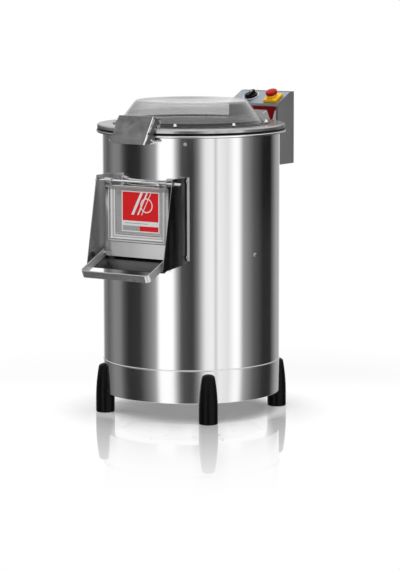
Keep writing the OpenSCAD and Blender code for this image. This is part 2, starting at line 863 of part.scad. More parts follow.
module cheeks() color(STEEL) pair() cheek();

module door_throat() color(STEEL) difference() {
    throat_block(throat_t, -throat_y, 0);
    throat_block(0, -far, far);
    disc(drum_r + seat, 0, rim_z);
}

module door_gasket() color(BLACK) difference() {
    throat_block(gasket_w, -throat_y - gasket_t, -throat_y - seat);
    throat_block(0, -far, far);
}

chute_rest = bar_h / 2 + bail_rest_gap;

// The chute floor lies just under the handle's arms and ends at the cheeks' lower corners
module chute_floor() color(DARK_STEEL) difference() {
    on_handle() union() {
        block([-cheek_x + seat, -bail_pivot_y / 4, -chute_rest - cheek_t],
            [cheek_x - seat, (cheek_reach - bail_pivot_y) / cos(chute_slope) - chute_rest / 2,
                -chute_rest]);
    }
    disc(drum_r + seat, 0, rim_z);
}

module hinge_rod() color(STEEL)
    bar_x(rod_r, -cheek_x - cheek_t - nut_t - 2 * seat, cheek_x + cheek_t + nut_t + 2 * seat,
        -rod_y, rod_z);

module rod_nuts() color(STEEL) pair() difference() {
    union() {
        bar_x(nut_r, cheek_x + cheek_t + seat, cheek_x + cheek_t + seat + nut_t, -rod_y, rod_z);
        intersection() {
            translate([cheek_x + cheek_t + seat + nut_t, -rod_y, rod_z]) sphere(r = nut_dome_r);
            bar_x(nut_r, cheek_x + cheek_t + nut_t, far, -rod_y, rod_z);
        }
    }
    bar_x(rod_r + run, 0, cheek_x + cheek_t + nut_t + 3 * seat, -rod_y, rod_z);
}

module handle_buffers() color(BLACK) pair() {
    bar_x(buffer_r, cheek_x - seat - buffer_len / 2, cheek_x - seat, -buffer_y, buffer_z);
    bar_x(buffer_r / 2, cheek_x - seat - buffer_len, cheek_x - seat, -buffer_y, buffer_z);
}

// Rectangle in the door's plane, [x, z] inset from the door's outer edges
module door_rect(x, low, high, y0, y1) block(
    [-door_w / 2 + x, -y1, door_z0 + low], [door_w / 2 - x, -y0, bead_z - high]);

door_mid_y = door_front_y - pad_wall;
ledge_y = door_front_y - recess_step_depth;

module door_panel() color(STEEL) difference() {
    union() {
        door_rect(0, 0, 0, door_mid_y - door_sheet, door_mid_y);
        door_rect(0, 0, 0, door_back_y, door_mid_y);
        door_rect(pad_side, flap_h, bead_r, door_back_y, door_front_y);
        bar_x(bead_r, -door_w / 2 + bead_inset, door_w / 2 - bead_inset, -door_mid_y + bead_inset,
            bead_z);
        pair() {
            bar_x(knuckle_r, knuckle_x - knuckle_w / 2, knuckle_x + knuckle_w / 2, -rod_y, rod_z);
            block([knuckle_x - knuckle_w / 2, -rod_y + rod_r + over, bead_z - bead_r],
                [knuckle_x + knuckle_w / 2, -door_back_y, rod_z]);
        }
    }
    difference() {
        door_rect(door_sheet, -over, door_sheet + bead_r, door_back_y - over, door_mid_y - door_sheet);
        door_rect(recess_side - recess_step - door_sheet, flap_h + recess_low - recess_step - door_sheet,
            recess_top - recess_step / 2 - door_sheet, ledge_y - door_sheet, door_front_y);
        door_rect(recess_side - door_sheet, flap_h + recess_low - door_sheet,
            recess_top - door_sheet, door_back_y - 2 * over, door_front_y);
    }
    door_rect(recess_side - recess_step, flap_h + recess_low - recess_step, recess_top - recess_step / 2,
        ledge_y, door_front_y + over);
    door_rect(recess_side, flap_h + recess_low, recess_top,
        door_back_y + door_sheet, door_front_y + over);
    bar_x(rod_r + run, -far, far, -rod_y, rod_z);
    bar_x(bail_pin_r + run, -far, far, -bail_pivot_y, bail_pivot_z);
}

module handle_pivots() color(STEEL) pair() {
    bar_x(bail_pin_r, door_w / 2 - 3 * door_sheet, bail_w / 2 + bail_pin_head_t / 2,
        -bail_pivot_y, bail_pivot_z);
    bar_x(bail_pin_head_r, bail_w / 2 + seat, bail_w / 2 + seat + bail_pin_head_t,
        -bail_pivot_y, bail_pivot_z);
    bar_x(bail_pin_head_r, door_w / 2 + seat, bail_inner_x - 2 * seat, -bail_pivot_y, bail_pivot_z);
}

// U of flat bar with rounded front corners and round arm ends
module handle_outline(inset) {
    translate([-bail_w / 2 + inset, -bar_h]) square([bail_w - 2 * inset, bar_h + bail_len - bail_bend_r]);
    translate([-bail_w / 2 + bail_bend_r, 0])
        square([bail_w - 2 * bail_bend_r, bail_len - inset]);
    for (side = [-1, 1]) translate([side * (bail_w / 2 - bail_bend_r), bail_len - bail_bend_r])
        circle(r = bail_bend_r - inset);
}

module door_handle() color(DARK_STEEL) on_handle() difference() {
    intersection() {
        translate([0, 0, -bar_h / 2]) linear_extrude(bar_h) difference() {
            handle_outline(0);
            handle_outline(bar_t);
            translate([-bail_inner_x, -2 * bar_h]) square([2 * bail_inner_x, 2 * bar_h]);
        }
        union() {
            bar_x(bar_h / 2, -bail_w, bail_w, 0, 0);
            block([-bail_w, 0, -bar_h], [bail_w, 2 * bail_len, bar_h]);
        }
    }
    bar_x(bail_pin_r + run, -far, far, 0, 0);
}

module lid_ring() color(STEEL) difference() {
    rotate_extrude() difference() {
        union() {
            translate([lid_hole_r, lid_z]) square([lid_r - lid_hole_r, lid_h - lid_edge_r]);
            translate([lid_hole_r, lid_z]) square([lid_r - lid_hole_r - lid_edge_r, lid_h]);
            translate([lid_r - lid_edge_r, lid_top_z - lid_edge_r]) circle(r = lid_edge_r);
        }
        translate([lid_hole_r + lid_sheet, lid_z - over])
            square([lid_r - lid_hole_r - 2 * lid_sheet, lid_h - lid_sheet + over]);
        translate([lid_hole_r - over, lid_z - over]) square([over + lid_sheet * 2, lid_h / 2 + over]);
    }
    for (i = [0 : dome_screw_count - 1]) radial(dome_screw_first + i * 360 / dome_screw_count)
        translate([dome_screw_pitch_r, 0, 0]) disc(dome_screw_r + screw_fit, 0, 2 * lid_top_z);
}

module lid_gasket() color(BLACK)
    ring(wall_in_r - lid_seal_w / 2, wall_in_r + lid_seal_w / 2, rim_z + 1.5 * seat,
        lid_top_z - lid_sheet - seat);

module dome_seal() color(BLACK) difference() {
    ring(lid_hole_r + lid_sheet, dome_flange_r - over, lid_top_z + seat, dome_z - seat);
    for (i = [0 : dome_screw_count - 1]) radial(dome_screw_first + i * 360 / dome_screw_count)
        translate([dome_screw_pitch_r, 0, 0]) disc(dome_screw_r + screw_fit, 0, 2 * lid_top_z);
}

wall_tilt = atan((dome_r - dome_top_r - shoulder_r) / (dome_h - shoulder_r));

// Profile of the dome, drawn inwards by an inset
module dome_profile(inset) polygon(concat(
    [[0, dome_z - (inset > 0 ? over : 0)], [dome_r - inset, dome_z - (inset > 0 ? over : 0)],
     [dome_r - inset, dome_z]],
    [for (a = [wall_tilt : (90 - wall_tilt) / 6 : 90.01])
        [dome_top_r + (shoulder_r - inset) * cos(a),
         dome_z + dome_h - dome_crown - shoulder_r + (shoulder_r - inset) * sin(a)]],
    [[dome_top_r / 2, dome_z + dome_h - dome_crown / 4 - inset], [0, dome_z + dome_h - inset]]));

module lid_dome() color("lightgray", 0.5) difference() {
    rotate_extrude() {
        difference() {
            dome_profile(0);
            dome_profile(dome_t);
        }
        translate([dome_r - dome_t, dome_z]) square([dome_flange_r - dome_r + dome_t, dome_t]);
    }
    for (i = [0 : dome_screw_count - 1]) radial(dome_screw_first + i * 360 / dome_screw_count)
        translate([dome_screw_pitch_r, 0, 0]) disc(dome_screw_r + screw_fit, 0, 2 * lid_top_z);
}

module dome_screws() color(STEEL)
    for (i = [0 : dome_screw_count - 1]) radial(dome_screw_first + i * 360 / dome_screw_count)
        translate([dome_screw_pitch_r, 0, 0]) {
            disc(dome_screw_r, lid_top_z - 2 * lid_sheet, dome_z + dome_t + seat + over);
            disc(dome_washer_r, dome_z + dome_t + seat, dome_z + dome_t + seat + dome_washer_t);
            translate([0, 0, dome_z + dome_t + seat])
                cylinder(r = dome_screw_head_r, h = dome_screw_head_h - dome_screw_head_r);
            translate([0, 0, dome_z + dome_t + seat + dome_screw_head_h - dome_screw_head_r])
                rotate_extrude() polygon(concat([[0, 0]],
                    [for (a = [0 : 15 : 90]) dome_screw_head_r * [cos(a), sin(a)]]));
        }

module hinge_bracket() color(STEEL) {
    pair() difference() {
        side_plate(hinge_strap_w / 2 + hinge_clear, hinge_strap_w / 2 + hinge_clear + hinge_lug_t) union() {
            polygon([[drum_r / 2, hinge_foot_z], [drum_r / 2, rim_z - rim_h - hinge_clear],
                [rim_r + hinge_clear, rim_z - rim_h - hinge_clear],
                [hinge_y - hinge_knuckle_r, hinge_z], [hinge_y + hinge_knuckle_r, hinge_z],
                [hinge_y + hinge_knuckle_r, rim_z - rim_h - hinge_clear],
                [rim_r, hinge_foot_z]]);
            translate([hinge_y, hinge_z]) circle(r = hinge_knuckle_r);
        }
        disc(drum_r + seat, 0, rim_z);
    }
    bar_x(hinge_pin_r, -hinge_strap_w / 2 - hinge_clear - hinge_lug_t - hinge_pin_over,
        hinge_strap_w / 2 + hinge_clear + hinge_lug_t + hinge_pin_over, hinge_y, hinge_z);
}

module lid_hinge_strap() color(STEEL) difference() {
    side_plate(-hinge_strap_w / 2, hinge_strap_w / 2) union() {
        translate([dome_flange_r + 2 * hinge_clear, lid_top_z + seat])
            square([hinge_y - dome_flange_r - 2 * hinge_clear, hinge_strap_t]);
        translate([hinge_y - hinge_strap_t, hinge_z])
            square([2 * hinge_strap_t, lid_top_z + seat + hinge_strap_t - hinge_z]);
        translate([hinge_y, hinge_z]) circle(r = hinge_knuckle_r);
    }
    bar_x(hinge_pin_r + run, -far, far, hinge_y, hinge_z);
}

latch_x = latch_w / 2;
latch_lug_x = latch_x - latch_t - seat - latch_lug_t;

module latch_lugs() color(STEEL) {
    pair() side_plate(latch_lug_x, latch_lug_x + latch_lug_t) union() {
        translate([-latch_pivot_y - latch_lug_d / 2, lid_top_z + seat])
            square([latch_lug_d, latch_pivot_z - lid_top_z - seat]);
        translate([-latch_pivot_y, latch_pivot_z]) circle(r = latch_lug_d / 2);
    }
    bar_x(latch_pin_r, -latch_x - latch_pin_r / 2, latch_x + latch_pin_r / 2,
        -latch_pivot_y, latch_pivot_z);
    pair() bar_x(latch_pin_r + latch_t, latch_x + seat, latch_x + latch_pin_r,
        -latch_pivot_y, latch_pivot_z);
}

// Side flange of the latch: an eye over the lid, and an arm down past the rim with a notch
module latch_flange() side_plate(latch_x - latch_t, latch_x) union() {
    translate([-latch_pivot_y, latch_pivot_z]) circle(r = latch_eye_r);
    polygon([[-latch_pivot_y - latch_eye_r / 2, latch_pivot_z + latch_eye_r * 0.8],
        [-latch_top[0], latch_top[1]],
        [-latch_low[0], latch_low[1]],
        [-keeper_y - 2 * keeper_r, latch_low[1]],
        [-keeper_y - keeper_r - over, keeper_z - keeper_r],
        [-keeper_y - keeper_r / 2, keeper_z + notch_lift],
        [-latch_back_y, keeper_z + notch_lift - notch_drop],
        [-latch_back_y, lid_top_z + latch_clear],
        [-latch_pivot_y, latch_pivot_z - latch_eye_r + over]]);
}

module latch_plate() color(STEEL) difference() {
    union() {
        side_plate(-latch_x, latch_x) polygon([[-latch_top[0], latch_top[1]],
            [-latch_low[0], latch_low[1]], [-latch_low[0] + latch_t, latch_low[1]],
            [-latch_top[0] + latch_t, latch_top[1]]]);
        side_plate(-latch_x, latch_x) translate([-latch_top[0], latch_top[1] - latch_t])
            square([latch_lip, latch_t]);
        pair() latch_flange();
    }
    bar_x(latch_pin_r + run, -far, far, -latch_pivot_y, latch_pivot_z);
}

module latch_keeper() color(STEEL) {
    bar_x(keeper_r, -latch_x - 2 * keeper_r, latch_x + 2 * keeper_r, -keeper_y, keeper_z);
    pair() difference() {
        block([latch_lug_x - 3 * keeper_r, -keeper_y - keeper_r, keeper_z - 2 * keeper_r],
            [latch_lug_x - 3 * keeper_r + keeper_plate_t, 0, keeper_z + 2 * keeper_r]);
        disc(drum_r + seat, 0, rim_z);
    }
}

panel_drop = (panel_t + seat) / cos(panel_slope);

module control_box() color("slategray") difference() {
    union() {
        difference() {
            side_plate(-box_x, box_x) polygon([[box_y, box_z], [box_back, box_z],
                [box_back, box_top_z], [box_back - box_strip, box_top_z],
                [box_back - box_strip, box_top_z - panel_drop],
                [box_y, box_front_z - panel_drop]]);
            side_plate(-box_x + sheet, box_x - sheet) polygon([[box_y + sheet, box_z + sheet],
                [box_back + over, box_z + sheet], [box_back + over, box_top_z - sheet],
                [box_back - box_strip + sheet, box_top_z - sheet],
                [box_back - box_strip, box_top_z + over], [box_y + sheet, box_front_z + over]]);
        }
        translate([0, 0, bracket_z]) difference() {
            block([-bracket_w / 2, 0, 0], [bracket_w / 2, box_y, bracket_h]);
            block([-bracket_w / 2 + sheet, -over, sheet],
                [bracket_w / 2 - sheet, box_y + over, bracket_h - sheet]);
            disc(drum_r + seat, -over, bracket_h + over);
        }
        pair() for (z = cover_screw_zs)
            block([box_x - sheet - 2 * cover_screw_head_r, box_back - 2 * cover_screw_head_r,
                z - cover_screw_head_r],
                [box_x - sheet, box_back, z + cover_screw_head_r]);
    }
    pair() for (z = cover_screw_zs) translate([cover_screw_x, box_y + sheet + over, z])
        rotate([-90, 0, 0]) cylinder(r = cover_screw_r + screw_fit, h = far);
    translate([conduit_x, conduit_y, 0]) disc(conduit_r + screw_fit, 0, box_z + 2 * sheet);
}

panel_out_y = box_y - seat - panel_t;
panel_inner_drop = panel_t * cos(panel_slope) + (seat + panel_t * sin(panel_slope)) * tan(panel_slope);

// Sloping panel in one bent sheet, with its lip in front of the box
module control_panel() color("lightsteelblue") difference() {
    union() {
        side_plate(-box_x, box_x) polygon([
            [panel_out_y, box_front_z - panel_drop - panel_lip],
            [box_y - seat, box_front_z - panel_drop - panel_lip],
            [box_y - seat, box_front_z - panel_inner_drop],
            [box_y + (slope_len - panel_t) * cos(panel_slope) + panel_t * sin(panel_slope),
                box_front_z + (slope_len - panel_t) * sin(panel_slope) - panel_t * cos(panel_slope)],
            [box_y + (slope_len - panel_t) * cos(panel_slope),
                box_front_z + (slope_len - panel_t) * sin(panel_slope)],
            [panel_out_y, box_front_z - (seat + panel_t) * tan(panel_slope)]]);
        on_panel() dial();
    }
    on_panel() {
        translate([knob_x, knob_v, 0]) disc(timer_shaft_r + run, -far, far);
        translate([estop_x, estop_v, 0]) disc(estop_stem_r + 2 * screw_fit, -far, far);
    }
}

// Heights of the rear cover's screws
cover_screw_zs = [box_z + cover_screw_inset, box_top_z - cover_screw_inset];

// Rear cover plate and its four screws
module box_rear_cover() color("slategray") {
    difference() {
        block([-box_x, box_back + seat, box_z], [box_x, box_back + sheet, box_top_z]);
        translate([gland_x, 0, gland_z]) rotate([-90, 0, 0])
            cylinder(r = gland_thread_r + screw_fit, h = far);
        pair() for (z = cover_screw_zs) translate([cover_screw_x, 0, z]) rotate([-90, 0, 0])
            cylinder(r = cover_screw_r + screw_fit, h = far);
    }
    pair() for (z = cover_screw_zs) translate([cover_screw_x, box_back + sheet + seat, z])
        rotate([-90, 0, 0]) {
            cylinder(r = cover_screw_head_r, h = cover_screw_head_t);
            translate([0, 0, -sheet - 2 * cover_screw_head_r])
                cylinder(r = cover_screw_r, h = sheet + 2 * cover_screw_head_r + over);
        }
}

// Round timer scale, raised out of the panel
module dial() translate([knob_x, knob_v, -over]) cylinder(r = dial_r, h = dial_t + over);

module switchgear() color("whitesmoke") {
    block([-box_x / 2, box_y + sheet + seat, rail_z - din_h / 2],
        [box_x / 2, box_y + sheet + din_t, rail_z + din_h / 2]);
    translate([-box_x / 2, box_y + sheet + din_t - over, rail_z - contactor_size[2] / 2])
        cube(contactor_size);
    translate([0, box_y + sheet + din_t - over, rail_z - terminal_size[2] / 2]) cube(terminal_size);
    on_panel() difference() {
        translate([knob_x - timer_size[0] / 2, knob_v - timer_size[1] / 2,
            -panel_t - seat - timer_size[2]]) cube(timer_size);
        translate([knob_x, knob_v, 0]) disc(timer_shaft_r + run, -far, far);
    }
    on_panel() translate([estop_x - estop_block_size[0] / 2, estop_v - estop_block_size[1] / 2,
        -panel_t - seat - estop_under - estop_block_size[2]]) cube(estop_block_size);
}

module cable_gland() color(BLACK) translate([gland_x, box_back + sheet, gland_z])
    rotate([-90, 0, 0]) difference() {
        union() {
            translate([0, 0, seat]) cylinder(r = gland_flange_r, h = gland_flange_t, $fn = 6);
            translate([0, 0, -sheet - gland_tail]) cylinder(r = gland_thread_r,
                h = sheet + gland_tail + gland_flange_t + gland_neck);
            translate([0, 0, gland_flange_t + gland_neck])
                cylinder(r = gland_nut_r, h = gland_nut_t, $fn = 6);
            translate([0, 0, -sheet - seat - locknut_t])
                cylinder(r = gland_flange_r, h = locknut_t, $fn = 6);
        }
        translate([0, 0, -far / 2]) cylinder(r = gland_bore_r, h = far);
    }

module estop_base() color("gold") on_panel() translate([estop_x, estop_v, 0]) difference() {
    union() {
        block([-estop_w / 2, -estop_w / 2, seat], [estop_w / 2, estop_w / 2, estop_base_h]);
        disc(estop_collar_r, estop_base_h - over, estop_base_h + estop_collar_h);
        disc(estop_stem_r + screw_fit, -panel_t - estop_under, estop_base_h);
    }
    disc(estop_stem_r - sheet + run, -far, far);
}

estop_cap_v = estop_base_h + estop_collar_h + estop_travel + over;

estop_pin_top = estop_cap_v + estop_cap_h / 2;

// Push stem of the stop button, which the cap turns on
module estop_stem() color(BLACK) on_panel() translate([estop_x, estop_v, 0])
    disc(estop_stem_r - sheet, -panel_t - estop_under + estop_travel + seat, estop_pin_top);

// Mushroom cap with a rounded top
module estop_cap() color("red") on_panel() translate([estop_x, estop_v, 0]) difference() {
    rotate_extrude() polygon(concat([[0, estop_cap_v], [estop_cap_r, estop_cap_v],
        [estop_cap_r, estop_cap_v + estop_cap_h / 2]],
        [for (a = [15 : 15 : 90]) [estop_cap_r * cos(a),
            estop_cap_v + estop_cap_h / 2 * (1 + sin(a))]]));
    disc(estop_stem_r - sheet + run, 0, estop_pin_top + run);
}

module timer_knob() color(BLACK) on_panel() translate([knob_x, knob_v, 0]) {
    disc(timer_shaft_r, -panel_t - timer_size[2] / 2, dial_t + knob_h);
    disc(knob_r, dial_t + 1.5 * seat, dial_t + knob_base_h);
    block([-knob_grip_t / 2, -knob_r, dial_t + knob_base_h - over],
        [knob_grip_t / 2, knob_r, dial_t + knob_h]);
}

// Drain stub through the wall, with a collar that is welded to the wall
module drain_pipe() color(STEEL) radial(drain_az) translate([0, 0, drain_z]) difference() {
    union() {
        bar_out(drain_r, wall_in_r + seat, drum_r + drain_len);
        difference() {
            bar_out(drain_r + 2 * drain_wall, drum_r / 2, drum_r + drain_wall);
            translate([0, 0, -drain_z]) disc(drum_r + seat, 0, rim_z);
        }
    }
    bar_out(drain_r - drain_wall, 0, far);
}

// Solenoid valve with its hose thread outside the drum and its spray nozzle inside
module water_valve() color(BLACK) radial(water_az) translate([0, 0, water_z]) {
    difference() {
        union() {
            bar_out(pipe_r, liner_r - nozzle_reach, drum_r + valve_gap + over);
            translate([liner_r - nozzle_reach - nozzle_r + pipe_wall, 0, 0])
                disc(nozzle_r, -nozzle_h, pipe_r);
            bar_out(valve_r, drum_r + valve_gap, drum_r + valve_gap + valve_len);
            bar_out(inlet_r, drum_r + valve_gap, drum_r + valve_gap + valve_len + inlet_len);
            translate([drum_r + valve_gap + valve_len / 2 - coil_size[0] / 2, -coil_size[1] / 2, 0])
                cube(coil_size);
        }
        bar_out(inlet_bore_r, drum_r + valve_gap + valve_len, far);
        bar_out(pipe_r - pipe_wall, liner_r - nozzle_reach - nozzle_r, drum_r);
        translate([liner_r - nozzle_reach - nozzle_r + pipe_wall, 0, 0])
            disc(nozzle_r - pipe_wall, -nozzle_h - over, 0);
    }
    difference() {
        bar_out(pipe_r + valve_gap / 2, drum_r / 2, drum_r + valve_gap / 2);
        bar_out(pipe_r + seat, 0, far);
        translate([0, 0, -water_z]) disc(drum_r + seat, 0, rim_z);
    }
}

// Cable conduit from the box's floor down to the drive compartment
module cable_conduit() color(BLACK) translate([conduit_x, 0, 0]) difference() {
    conduit_run(conduit_r, 0);
    conduit_run(conduit_r - conduit_wall, over);
}

// Straight, bend and straight of the conduit, with its free ends lengthened by a margin
module conduit_run(r, longer) {
    translate([0, conduit_y, conduit_z + conduit_bend_r]) {
        disc(r, 0, box_z + sheet + conduit_nut_t - conduit_z - conduit_bend_r + longer);
        if (longer == 0) disc(conduit_nut_r, box_z - seat - conduit_nut_t - conduit_z - conduit_bend_r,
            box_z - seat - conduit_z - conduit_bend_r);
        translate([0, -conduit_bend_r, 0]) rotate([0, 90, 0])
            rotate_extrude(angle = 90) translate([conduit_bend_r, 0]) circle(r = r);
    }
    translate([0, wall_in_r - conduit_nut_t - longer, conduit_z]) rotate([-90, 0, 0])
        cylinder(r = r, h = conduit_y - conduit_bend_r - wall_in_r + conduit_nut_t + longer);
}

base_skirt();
bottom_cover();
foot_front_right();
foot_rear_right();
foot_rear_left();
foot_front_left();
foot_bolts();
drum_shell();
rim_ring();
floor_ring();
chamber_floor();
liner_panels();
drum_screws();
bearing_housing();
hub_bolts();
bearings();
shaft_seal();
chassis_rails();
motor_plate();
motor_body();
motor_bolts();
drive_belt();
main_shaft();
driven_pulley();
peeling_disc();
abrasive_pad();
disc_bolt();
motor_rotor();
cheeks();
door_throat();
door_gasket();
chute_floor();
hinge_rod();
rod_nuts();
handle_buffers();
door_panel();
handle_pivots();
door_handle();
lid_ring();
lid_gasket();
dome_seal();
lid_dome();
dome_screws();
hinge_bracket();
lid_hinge_strap();
latch_lugs();
latch_plate();
latch_keeper();
control_box();
control_panel();
box_rear_cover();
switchgear();
cable_gland();
estop_base();
timer_knob();
estop_stem();
estop_cap();
drain_pipe();
water_valve();
cable_conduit();
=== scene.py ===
import json
import math
import bmesh
import bpy
from mathutils import Matrix, Vector
from mathutils.bvhtree import BVHTree


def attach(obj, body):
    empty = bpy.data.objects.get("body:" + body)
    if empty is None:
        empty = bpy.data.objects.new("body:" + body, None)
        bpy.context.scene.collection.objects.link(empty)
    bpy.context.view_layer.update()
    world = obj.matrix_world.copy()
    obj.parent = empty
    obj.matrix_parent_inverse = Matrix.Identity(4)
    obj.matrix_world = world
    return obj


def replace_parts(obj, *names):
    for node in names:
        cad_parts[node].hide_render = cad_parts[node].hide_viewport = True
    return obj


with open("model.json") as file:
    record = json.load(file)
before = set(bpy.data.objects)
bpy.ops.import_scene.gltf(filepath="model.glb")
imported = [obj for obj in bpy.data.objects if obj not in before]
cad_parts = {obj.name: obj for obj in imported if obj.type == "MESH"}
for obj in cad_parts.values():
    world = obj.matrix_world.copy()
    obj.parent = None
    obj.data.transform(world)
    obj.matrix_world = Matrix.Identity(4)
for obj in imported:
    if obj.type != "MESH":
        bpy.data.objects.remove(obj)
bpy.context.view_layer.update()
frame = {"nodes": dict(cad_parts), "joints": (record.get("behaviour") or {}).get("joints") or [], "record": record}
nodes = frame["nodes"]
riders = {node: body for body, members in frame["record"]["behaviour"]["bodies"].items()
          for node in members}

# Outlines, bars and blocks are written in millimetres, finishes and plates in metres
MM = 0.001

# Pin of the door's hinge, along x
pin_y, pin_z = -318, 791.5

# Pressed door, from its rim to its recess: half width, low z, high z and y of each step
door_steps = [
    (125, 544, 775.5, -314), (113, 593, 773, -314), (111, 595, 771.5, -317.9),
    (106.5, 600.5, 769, -317.9), (102.5, 604, 766.5, -312.5), (93.5, 613.5, 763.5, -309),
    (88.5, 618, 761, -302)]
recess_half, recess_low, recess_high, recess_y = (value * MM for value in door_steps[-1])

# Rightward in the photograph is this much of x and of y
view_x, view_y = 0.826, 0.563


def rightward(x, y):
    """How far a place lies right of the drum's axis, as the photograph sees it."""
    return x * view_x + y * view_y


def nearer(x, y):
    """How far a place lies before the drum's axis, as the photograph sees it."""
    return x * view_y - y * view_x


# Shader tools
class Value:
    """One output of a shader node, so that masks and levels read as plain sums."""

    def __init__(self, paint, socket):
        self.paint, self.socket = paint, socket

    def math(self, operation, *inputs, clamp=False):
        settings = {"operation": operation, "use_clamp": clamp}
        return self.paint.add("ShaderNodeMath", settings, dict(enumerate(inputs)))

    def __add__(self, other):
        return self.math("ADD", self, other)

    __radd__ = __add__

    def __mul__(self, other):
        return self.math("MULTIPLY", self, other)

    __rmul__ = __mul__

    def __sub__(self, other):
        return self.math("SUBTRACT", self, other)

    def __rsub__(self, other):
        return self.math("SUBTRACT", other, self)

    def __truediv__(self, other):
        return self.math("DIVIDE", self, other)

    def __gt__(self, other):
        return self.math("GREATER_THAN", self, other)

    def __lt__(self, other):
        return self.math("LESS_THAN", self, other)

    def __abs__(self):
        return self.math("ABSOLUTE", self)

    def __pow__(self, other):
        return self.math("POWER", self, other)

    def either(self, other):
        """The larger of two values, so the union of two masks."""
        return self.math("MAXIMUM", self, other)

    def kept_in(self):
        """The value, kept between 0 and 1."""
        return self.math("ADD", self, 0.0, clamp=True)


class Paint:
    """Adds nodes to one material's or world's tree."""

    def __init__(self, tree):
        self.tree = tree
        tree.nodes.clear()

    def add(self, kind, settings=None, inputs=None, out=0):
        """A new node, given its settings first and then its inputs, as one of its outputs."""
        node = self.tree.nodes.new(kind)
        for name, value in (settings or {}).items():
            if name == "stops":
                self.set_stops(node.color_ramp, value)
            else:
                setattr(node, name, value)
        for name, value in (inputs or {}).items():
            socket = node.inputs[name]
            if isinstance(value, Value):
                self.tree.links.new(value.socket, socket)
            elif socket.type == "RGBA":
                socket.default_value = (*value, 1)
            else:
                socket.default_value = value
        return Value(self, node.outputs[out])

    def set_stops(self, ramp, stops):
        while len(ramp.elements) > 1:
            ramp.elements.remove(ramp.elements[0])
        for i, (place, level) in enumerate(stops):
            stop = ramp.elements[0] if i == 0 else ramp.elements.new(place)
            stop.position = place
            stop.color = (*grey(level), 1)

    def place(self):
        return self.add("ShaderNodeTexCoord", out="Object")

    def axes(self):
        """The x, y and z of the painted place, in metres."""
        place = self.place()
        return [self.add("ShaderNodeSeparateXYZ", None, {0: place}, out=i) for i in range(3)]

    def stretched(self, scale):
        return self.add("ShaderNodeMapping", None, {"Vector": self.place(), "Scale": scale})

    def noise(self, vector, scale, detail, roughness):
        return self.add("ShaderNodeTexNoise", None, {
            "Vector": vector, "Scale": scale, "Detail": detail, "Roughness": roughness})

    def ramp(self, factor, stops):
        return self.add("ShaderNodeValToRGB", {"stops": stops}, {0: factor})

    def mix(self, factor, a, b):
        return self.add("ShaderNodeMix", {"data_type": "RGBA"}, {0: factor, 6: a, 7: b}, out=2)

    def shade(self, level):
        """A grey of the given level."""
        return self.mix(level, grey(0.0), grey(1.0))

    def bump(self, height, strength, distance=0.0004):
        return self.add("ShaderNodeBump", None, {"Height": height, "Strength": strength,
                                                 "Distance": distance})

    def glow(self, level, strength=1.0):
        return self.add("ShaderNodeEmission", None, {"Color": level, "Strength": strength})

    def close(self, shader, kind="ShaderNodeOutputMaterial"):
        output = self.tree.nodes.new(kind)
        self.tree.links.new(shader.socket, output.inputs["Surface"])


def grey(level):
    return (level, level, level)


def finish(name):
    """A new material, and the paint that fills it."""
    material = bpy.data.materials.new(name)
    material.use_nodes = True
    return material, Paint(material.node_tree)


def surface(material, paint, shine=0.5, **sockets):
    """Closes a material with a principled shader whose sockets are named with underscores."""
    inputs = {name.replace("_", " "): value for name, value in sockets.items()}
    inputs["Specular IOR Level"] = shine
    paint.close(paint.add("ShaderNodeBsdfPrincipled", None, inputs))
    return material


def steel(name, tone, rough, grain=(260, 260, 3), grain_tone=0.05, grain_rough=0.07, bump=0.04,
          tint=(1.0, 1.0, 1.0), smudge=0.05):
    """Steel sheet: fine grain along one direction, broad smudges in its roughness."""
    material, p = finish(name)
    fine = p.noise(p.stretched(grain), 1.0, 4.0, 0.6)
    wide = p.noise(p.stretched(tuple(g / 9 for g in grain)), 1.0, 2.0, 0.5)
    blot = p.noise(p.place(), 7.0, 3.0, 0.6)
    streak = (fine * 0.6 + wide * 0.4 - 0.5) * 2
    low = tuple(tone * t * (1 - grain_tone) for t in tint)
    high = tuple(min(1, tone * t * (1 + grain_tone)) for t in tint)
    colour = p.mix((streak * 0.5 + 0.5).kept_in(), low, high)
    roughness = (streak * grain_rough + (blot - 0.5) * (2 * smudge) + rough).kept_in()
    return surface(material, p, Base_Color=colour, Metallic=1.0, Roughness=roughness,
                   Normal=p.bump(fine, bump))


def plastic(name, colour, rough, speckle=0.15, coat=0.0, scale=260, bump=0.08, wear=0.0,
            shine=0.5):
    """Moulded plastic or rubber: a fine pitted skin and faint rubbed patches."""
    material, p = finish(name)
    pits = p.noise(p.place(), scale, 3.0, 0.6)
    patch = p.noise(p.place(), 22.0, 4.0, 0.65)
    dark = tuple(c * (1 - speckle) for c in colour)
    light = tuple(min(1, c * (1 + speckle) + wear) for c in colour)
    tone = p.mix((pits * 0.4 + patch * 0.6), dark, light)
    return surface(material, p, shine, Base_Color=tone, Coat_Weight=coat,
                   Roughness=((patch - 0.5) * 0.25 + rough).kept_in(), Normal=p.bump(pits, bump))


